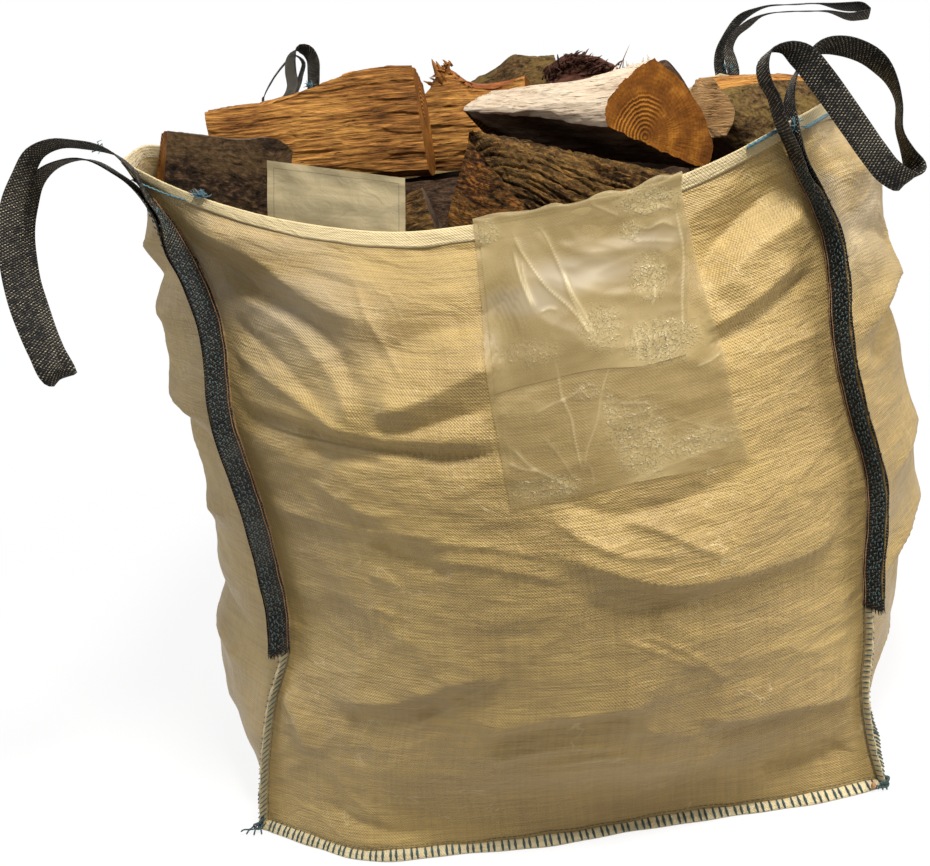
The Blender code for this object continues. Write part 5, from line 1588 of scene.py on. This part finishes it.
def log_piece(name, start, end, sides, stations, ends, pith, counts, seed, up=(0, 0, 1),
              tilt=(0, 0, 0, 0), rough=1.0):
    """A split log, lofted along its length. Places and sizes are in millimetres.

    sides gives each side's finish, how far it bows out and its points. stations gives the share of
    the length and the corners there, anticlockwise as seen from the end, in the log's own across
    and up directions. ends are the two sawn faces' finishes, round the pith, and tilt slants them.
    counts are the points along the log and the rings of an end.
    """
    start, end, pith = (np.array(place) / 1000 for place in (start, end, pith))
    stations = np.array(stations, float)
    length = np.linalg.norm(end - start)
    way = (end - start) / length
    across = unit(np.cross(up, way))
    above = np.cross(way, across)
    shares = np.linspace(0, 1, counts[0])
    corners = smooth(shares, stations[:, 0], stations[:, 1:] / 1000).reshape(counts[0], -1, 2)
    profile, kinds = [], []
    for k, (kind, bow, count) in enumerate(sides):
        bow = bow / 1000
        first, last = corners[:, k], corners[:, (k + 1) % len(sides)]
        chord = last - first
        size = np.linalg.norm(chord, axis=1, keepdims=True)
        normal = np.stack([chord[:, 1], -chord[:, 0]], 1) / np.maximum(size, 1e-6)
        turn = np.arange(count) / count
        if bow > FULL_BOW * size.mean():
            place, lift = (1 - np.cos(np.pi * turn)) / 2, np.sin(np.pi * turn)
        else:
            place, lift = turn, 4 * turn * (1 - turn)
        straight = first[:, None] + chord[:, None] * place[:, None]
        profile.append(straight + normal[:, None] * (bow * lift)[:, None])
        kinds += [kind] * count
    profile = np.concatenate(profile, 1)
    count = profile.shape[1]
    fall_first, fall_last = 1 - ease(shares, 0, SLANT_REACH), ease(shares, 1 - SLANT_REACH, 1)
    slant = (
        fall_first[:, None] * (profile[..., 0] * tilt[0] + profile[..., 1] * tilt[1])
        + fall_last[:, None] * (profile[..., 0] * tilt[2] + profile[..., 1] * tilt[3])
    )
    grid = (
        start + way * (shares[:, None] * length + slant)[..., None]
        + across * profile[..., :1] + above * profile[..., 1:]
    )
    closed = np.concatenate([grid[:, -1:], grid, grid[:, :1]], 1)
    normals = unit(np.cross(np.gradient(closed, axis=1), np.gradient(closed, axis=0)))[:, 1:-1]
    around = travelled(grid, 1)
    around = around - around[:, sides[0][2], None]
    x = np.broadcast_to((shares * length)[:, None], around.shape)
    relief = np.zeros_like(around)
    for kind in dict.fromkeys(kinds):
        own = np.array([k == kind for k in kinds])
        relief[:, own] = wood_relief(kind, x, around, seed)[:, own]
    grid = grid + normals * (relief * rough)[..., None]
    points = [grid.reshape(-1, 3)]
    number = np.arange(counts[0] * count).reshape(counts[0], count)
    beside = np.roll(number, -1, axis=1)
    faces = [np.stack([number[:-1], beside[:-1], beside[1:], number[1:]], -1).reshape(-1, 4)]
    beside_laid = np.concatenate([around[:, 1:], around[:, -1:] + 0.003], 1)
    quad_x = np.stack([x[:-1], x[:-1], x[1:], x[1:]], -1)
    quad_y = np.stack([around[:-1], beside_laid[:-1], beside_laid[1:], around[1:]], -1)
    shift = seed * PATTERN_SHIFT
    laid = [np.stack([quad_x + shift, quad_y + shift], -1).reshape(-1, 4, 2)]
    finishes = list(dict.fromkeys([k for k, _, _ in sides] + list(ends)))
    picks = [np.tile([finishes.index(k) for k in kinds], counts[0] - 1)]
    total = grid.shape[0] * count
    steps = np.linspace(1, 0, counts[1] + 1)[:-1]
    # each end: rings that shrink toward the pith, and triangles round it
    for last in (0, 1):
        row = -last
        flat, outer = profile[row] - pith, grid[row]
        slope = tilt[2 * last:2 * last + 2]
        middle = start + way * (length * last) + across * pith[0] + above * pith[1]
        middle = middle + way * (pith[0] * slope[0] + pith[1] * slope[1])
        rings = [number[row]]
        for step in steps[1:]:
            uneven = drift(flat[:, 0] * step * 40 + 9, flat[:, 1] * step * 40, seed + 11)
            points.append(middle + (outer - middle) * step + way * (END_ROUGHNESS * uneven)[:, None])
            rings.append(total + np.arange(count))
            total += count
        points.append(middle[None])
        turned, finish = np.roll(flat, -1, 0), finishes.index(ends[last])
        for k, ring in enumerate(rings):
            face, where = [ring, np.roll(ring, -1)], [flat * steps[k], turned * steps[k]]
            if k + 1 < len(rings):
                face += [np.roll(rings[k + 1], -1), rings[k + 1]]
                where += [turned * steps[k + 1], flat * steps[k + 1]]
                order = (0, 1, 2, 3) if last else (3, 2, 1, 0)
            else:
                face += [np.full(count, total)]
                where += [flat * 0]
                order = (0, 1, 2) if last else (1, 0, 2)
            faces.append(np.stack([face[m] for m in order], -1))
            laid.append(np.stack([where[m] for m in order], 1))
            picks.append(np.full(count, finish))
        total += 1
    materials = [LOG_FINISHES[k] for k in finishes]
    piece = mesh_piece(name + "_wood", np.concatenate(points), faces, laid, materials,
                       np.concatenate(picks), WOOD_CREASE)
    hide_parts(name)
    "bark" if any(k in BARKS for k, _, _ in sides) else "split_wood"
    return piece


def even(corners, *stretches):
    """Stations with the same corners, stretched across and up and lifted at shares of the length."""
    return [
        (share, *(place for a, b in corners for place in (a * wide, b * tall + lift)))
        for share, wide, tall, lift in stretches
    ]


# dark slab at the left: bark toward the front, its sawn end a thin orange strip
log_piece(
    "log_dark_bark_left", (-391, -412, 1004), (-243, -356, 956),
    (("grey_bark", 4, 62), ("dull", 4, 14), ("orange", 12, 40), ("dull", 2, 20)),
    ((0, 0, 52, 0, -70, 46, -66, 50, 46), (0.5, 0, 52, 0, -70, 60, -62, 66, 46),
     (0.96, 0, 51, 0, -66, 64, -60, 70, 44), (1, 4, 46, 4, -60, 60, -54, 64, 38)),
    ("orange_end", "brown_end"), (50, 0), (90, 8), 11, tilt=(-0.1, 0, 0, 0), rough=0.75,
)
# the big orange one, taller to the right
log_piece(
    "log_orange_split_left", (-376, -232, 1000), (-72, -226, 1000),
    (("orange", 6, 110), ("orange", 10, 24), ("brown_bark", 14, 26), ("orange", 6, 24)),
    ((0, 0, 63, 0, -45, 80, -50, 90, 50), (0.12, 0, 64, 0, -48, 85, -55, 95, 52),
     (0.28, 0, 63, 0, -50, 90, -60, 100, 50), (0.46, 0, 70, 0, -52, 95, -60, 105, 52),
     (0.57, 0, 77, 0, -54, 100, -62, 110, 52), (0.71, 0, 87, 0, -56, 105, -64, 115, 54),
     (0.82, 0, 89, 0, -58, 98, -66, 104, 54), (1, 0, 82, 0, -62, 84, -70, 90, 50)),
    ("brown_end", "orange_end"), (45, -5), (108, 10), 21, tilt=(0, 0, 0.02, 0),
)
# the one behind it, torn to a ragged crest
log_piece(
    "log_splintered_middle", (-255, 72, 975), (62, 52, 960),
    (("orange", 10, 90), ("dull", 10, 20), ("brown_bark", 30, 26), ("red_orange", 10, 26)),
    ((0, 0, 50, 10, -60, 100, -50, 110, 30), (0.4, 0, 56, 4, -62, 110, -52, 116, 34),
     (0.52, 0, 68, 0, -64, 110, -52, 116, 38), (0.57, 0, 96, -4, -64, 110, -52, 116, 40),
     (0.61, 0, 104, -4, -64, 110, -52, 116, 40), (0.68, 4, 74, -8, -64, 110, -52, 116, 40),
     (0.8, 10, 60, -12, -64, 110, -50, 116, 40), (1, 10, 70, -14, -60, 100, -48, 108, 40)),
    ("brown_end", "orange_end"), (55, -5), (120, 8), 31, rough=1.5,
)
# the pale one lying on top, its ringed end toward the front
log_piece(
    "log_pale_on_top", (40, 8, 980), (268, -264, 980),
    (("pale", 6, 70), ("pale", 3, 12), ("dull", 4, 44), ("brown_bark", 6, 12), ("brown_bark", 16, 40)),
    ((0, -9, 40, -87, 24, -87, 18, 50, -75, 70, -50), (0.3, -10, 42, -92, 23, -93, 11, 54, -82, 73, -54),
     (0.62, -11, 48, -98, 23, -100, 2, 58, -88, 76, -57),
     (0.9, -12, 59, -103, 24, -105, -7, 61, -94, 79, -60),
     (1, -12, 63, -102, 25, -106, -10, 62, -96, 79, -60)),
    ("brown_end", "orange_end"), (-44, -36), (90, 22), 41,
)
# the furrowed one under it, rusty on its left face and at that end
log_piece(
    "log_furrowed_front", (-12, -325, 924), (272, -386, 832),
    (("rusty_bark", 4, 40), ("dull", 8, 16), ("furrowed_bark", 20, 20), ("furrowed_bark", 8, 42),
     ("furrowed_bark", 14, 76)),
    ((0, -8, 58, -60, -45, 50, -60, 60, 40, 4, 62), (0.12, -44, 42, -70, -50, 52, -62, 62, 44, 0, 66),
     (0.28, -66, 10, -74, -52, 54, -64, 62, 44, -6, 66),
     (0.45, -73, -26, -72, -56, 54, -66, 60, 44, -8, 64),
     (1, -70, -36, -62, -60, 50, -64, 58, 42, -6, 60)),
    ("rusty_bark", "brown_end"), (0, -10), (118, 8), 51,
)
# behind them, a mossy one that rises to a blunt peak
log_piece(
    "log_mossy_back", (-60, 226, 972), (118, 240, 980),
    (("mossy_bark", 30, 50), ("dull", 6, 16), ("dull", 10, 20), ("mossy_bark", 20, 26)),
    ((0, 30, 30, 0, -50, 90, -50, 95, 20), (0.22, 30, 44, 0, -55, 100, -55, 105, 34),
     (0.45, 30, 62, 0, -55, 100, -55, 105, 40), (0.6, 30, 79, 0, -55, 100, -55, 105, 44),
     (0.74, 30, 72, 0, -55, 100, -55, 105, 42), (1, 30, 58, 0, -55, 95, -55, 100, 36)),
    ("brown_end", "brown_end"), (50, 0), (70, 6), 61, rough=1.5,
)
# the dark one beside it, torn all round
log_piece(
    "log_torn_dark", (94, 205, 950), (226, 214, 946),
    (("dark_torn", 6, 60), ("dark_torn", 4, 14), ("dark_torn", 8, 18), ("dark_torn", 8, 30)),
    ((0, 6, 84, 0, -50, 70, -50, 60, 52), (0.25, 4, 100, 0, -52, 74, -52, 62, 70),
     (0.5, 6, 95, 0, -52, 74, -52, 60, 74), (0.75, 4, 82, 0, -52, 74, -52, 62, 68),
     (1, 10, 56, 0, -50, 70, -50, 60, 44)),
    ("dark_torn", "dark_torn"), (30, 0), (70, 6), 66, rough=1.7,
)
# a low one between them and the pale one
log_piece(
    "log_dark_bark_middle", (122, 92, 945), (325, 108, 950),
    (("brown_bark", 14, 40), ("dull", 6, 14), ("dull", 8, 18), ("brown_bark", 20, 24)),
    ((0, -30, 40, -40, -50, 60, -50, 62, 30), (0.7, -32, 46, -40, -52, 60, -52, 62, 36),
     (0.88, -35, 52, -42, -52, 60, -50, 60, 40), (1, -30, 4, -42, -52, 55, -50, 55, -6)),
    ("brown_end", "dull"), (10, 0), (70, 6), 71,
)
# the mossy one at the right, its fibrous end toward the front
log_piece(
    "log_olive_bark_right", (330, -120, 930), (492, 0, 918),
    (("orange", 2, 14), ("orange", 2, 10), ("mossy_bark", 22, 70), ("dull", 6, 20), ("dull", 6, 24)),
    ((0, 20, 66, -14, 70, -34, 52, -40, -14, 60, -10),
     (0.12, 20, 65, -14, 69, -34, 53, -41, -50, 61, -46),
     (0.5, 20, 60, -14, 66, -34, 54, -42, -62, 62, -54), (1, 16, 48, -10, 50, -30, 44, -40, -58, 56, -50)),
    ("fibrous", "brown_end"), (0, 0), (90, 8), 81,
)

# loose splinters along the torn crests: the crest's two ends, how far they stray from it, how many,
# their length and thickness, which way they lean, their finish and seed. Sizes are in millimetres.
SPLINTER_RUNS = (
    ("splinters_peak", ((-88, 58, 1046), (-52, 58, 1068)), 3, 16, 13, 1.8,
     (-0.8, -0.2, 0.6), WOODS["orange"], 5),
    ("splinters_crest", ((-54, 60, 1052), (-20, 60, 1028)), 2, 14, 10, 1.4,
     (-0.9, -0.2, 0.25), WOODS["orange"], 6),
    ("splinters_dark", ((98, 205, 1022), (150, 205, 1044)), 6, 60, 16, 1.5,
     (0.5, -0.4, 0.5), WOODS["dark_torn"], 7),
    ("splinters_dark_fall", ((150, 205, 1044), (222, 205, 1006)), 6, 70, 20, 1.4,
     (0.8, -0.4, 0.4), WOODS["dark_torn"], 8),
    ("splinters_pale", ((205, -170, 1030), (256, -248, 1040)), 3, 14, 16, 0.9,
     (0.2, 0.5, 0.8), WOODS["pale"], 9),
)
SPLINTER_RINGS = ((0.0, 1.2), (0.45, 0.9), (0.8, 0.5), (1.0, 0.12))
for name, crest, stray, count, length, thickness, lean, finish, seed in SPLINTER_RUNS:
    rng = np.random.default_rng(seed)
    first, last = np.array(crest) / 1000
    stray, length, thickness = stray / 1000, length / 1000, thickness / 1000
    roots = first + (last - first) * rng.uniform(0, 1, (count, 1)) + rng.normal(0, stray, (count, 3))
    ways = unit(np.array(lean) + rng.normal(0, 0.45, (count, 3)))
    lengths = length * rng.uniform(0.4, 1.4, (count, 1))
    bars(name, roots - ways * lengths * 0.4, roots + ways * lengths * 0.6, (0.0, 0.0, 0.0015),
         thickness * rng.uniform(0.6, 1.6, (count, 1)), finish, SPLINTER_RINGS, "split_wood")
# three long ones at the torn peak, one over the dark piece: foot, tip and thickness
LONG_SPLINTERS = (
    ((-0.066, 0.058, 1.05), (-0.076, 0.05, 1.08), 0.0058),
    ((-0.058, 0.06, 1.05), (-0.07, 0.052, 1.076), 0.0052),
    ((-0.062, 0.062, 1.058), (-0.048, 0.052, 1.072), 0.0042),
    ((0.204, 0.202, 1.000), (0.24, 0.19, 1.05), 0.0012),
)
roots, tips, sizes = (np.array([spike[k] for spike in LONG_SPLINTERS]) for k in range(3))
bars("splinters_long", roots - (0, 0, 0.012), tips, (0.0, 0.0008, 0.0), sizes[:, None], WOODS["orange"],
     SPLINTER_RINGS, "split_wood")

# The rest of the heap: middle in millimetres, heading, rise and turn in degrees, length, width and
# depth in millimetres, shape, split face and bark
SMALL_LOGS = {
    "log_orange_right": ((418, 180, 905), (94, 2, -60), (260, 120, 110), "wedge", "red_orange",
        "brown_bark"),
    "log_dark_under_label": ((-186, -362, 836), (2, 14, 10), (276, 125, 120), "round", "dull",
        "furrowed_bark"),
    "log_small_light_brown": ((368, -305, 846), (60, 4, 0), (170, 88, 88), "half", "orange", "mossy_bark"),
    "log_right_low": ((395, -50, 776), (84, 0, 8), (290, 150, 92), "half", "orange", "brown_bark"),
    "log_right_back_low": ((402, 236, 812), (92, 0, 100), (230, 110, 103), "wedge", "orange", "brown_bark"),
    "log_centre_low": ((172, -72, 800), (6, 1, 25), (250, 160, 140), "half", "dull", "brown_bark"),
    "log_middle_low": ((-125, -5, 815), (-4, 0, 60), (310, 160, 140), "wedge", "orange", "brown_bark"),
    "log_left_low": ((-398, -112, 812), (86, 0, -15), (310, 150, 150), "half", "orange", "grey_bark"),
    "log_left_back_low": ((-397, 200, 830), (92, -1, 170), (250, 112, 112), "wedge", "orange", "grey_bark"),
    "log_left_side": ((-370, 50, 955), (88, 1, 8), (270, 135, 105), "half", "orange", "furrowed_bark"),
    "log_left_back": ((-238, 272, 955), (4, -1, 170), (280, 130, 105), "wedge", "red_orange", "grey_bark"),
    "log_back_left": ((-185, 392, 915), (-2, 1, 40), (280, 90, 80), "wedge", "orange", "brown_bark"),
}
# Shares of the length, the corners' stretch across and up there, and their lift in millimetres.
SMALL_STRETCHES = ((0, 0.95, 0.95, 0), (0.3, 0.98, 0.96, 1), (0.7, 0.95, 0.98, -1), (1, 0.93, 0.94, 0))
SMALL_COUNTS = (40, 5)
SMALL_TILT = (0.04, -0.03, -0.05, 0.02)
SMALL_ROUGH = 0.8
for number, (name, shape) in enumerate(SMALL_LOGS.items()):
    middle, turns, (length, width, depth), kind, face, bark = shape
    yaw, pitch, roll = np.radians(turns)
    way = np.array([math.cos(yaw) * math.cos(pitch), math.sin(yaw) * math.cos(pitch), math.sin(pitch)])
    side = np.array([-math.sin(yaw), math.cos(yaw), 0.0])
    up = math.cos(roll) * np.cross(way, side) - math.sin(roll) * side
    half, tall = width / 2, depth / 2
    if kind == "round":
        corners = [(half, 0.0), (-half, 0.0)]
        sides = [(bark, tall, 44), (bark, tall, 44)]
    elif kind == "half":
        corners = [(half, -tall), (-half, -tall)]
        sides = [(bark, depth, 50), (face, 2, 36)]
    else:
        corners = [(6, -tall), (half, tall * 0.45), (-half, tall * 0.45), (-6, -tall)]
        sides = [(face, 3, 30), (bark, tall * 0.55, 34), (face, 3, 30), (face, 0, 3)]
    far_end = {"orange": "orange_end", "dull": "dull"}.get(face, "brown_end")
    log_piece(name, middle - way * length / 2, middle + way * length / 2, sides,
              even(corners, *SMALL_STRETCHES), ("brown_end", far_end), (0, 0), SMALL_COUNTS,
              100 + number, up, SMALL_TILT, SMALL_ROUGH)

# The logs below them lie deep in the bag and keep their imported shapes.
HIDDEN_LOGS = 26
for number in range(1, HIDDEN_LOGS + 1):
    hidden = bpy.data.objects[f"log_{number:02d}"].data
    for k in range(len(hidden.materials)):
        hidden.materials[k] = BARKS["brown_bark"] if number % 2 else WOODS["dull"]
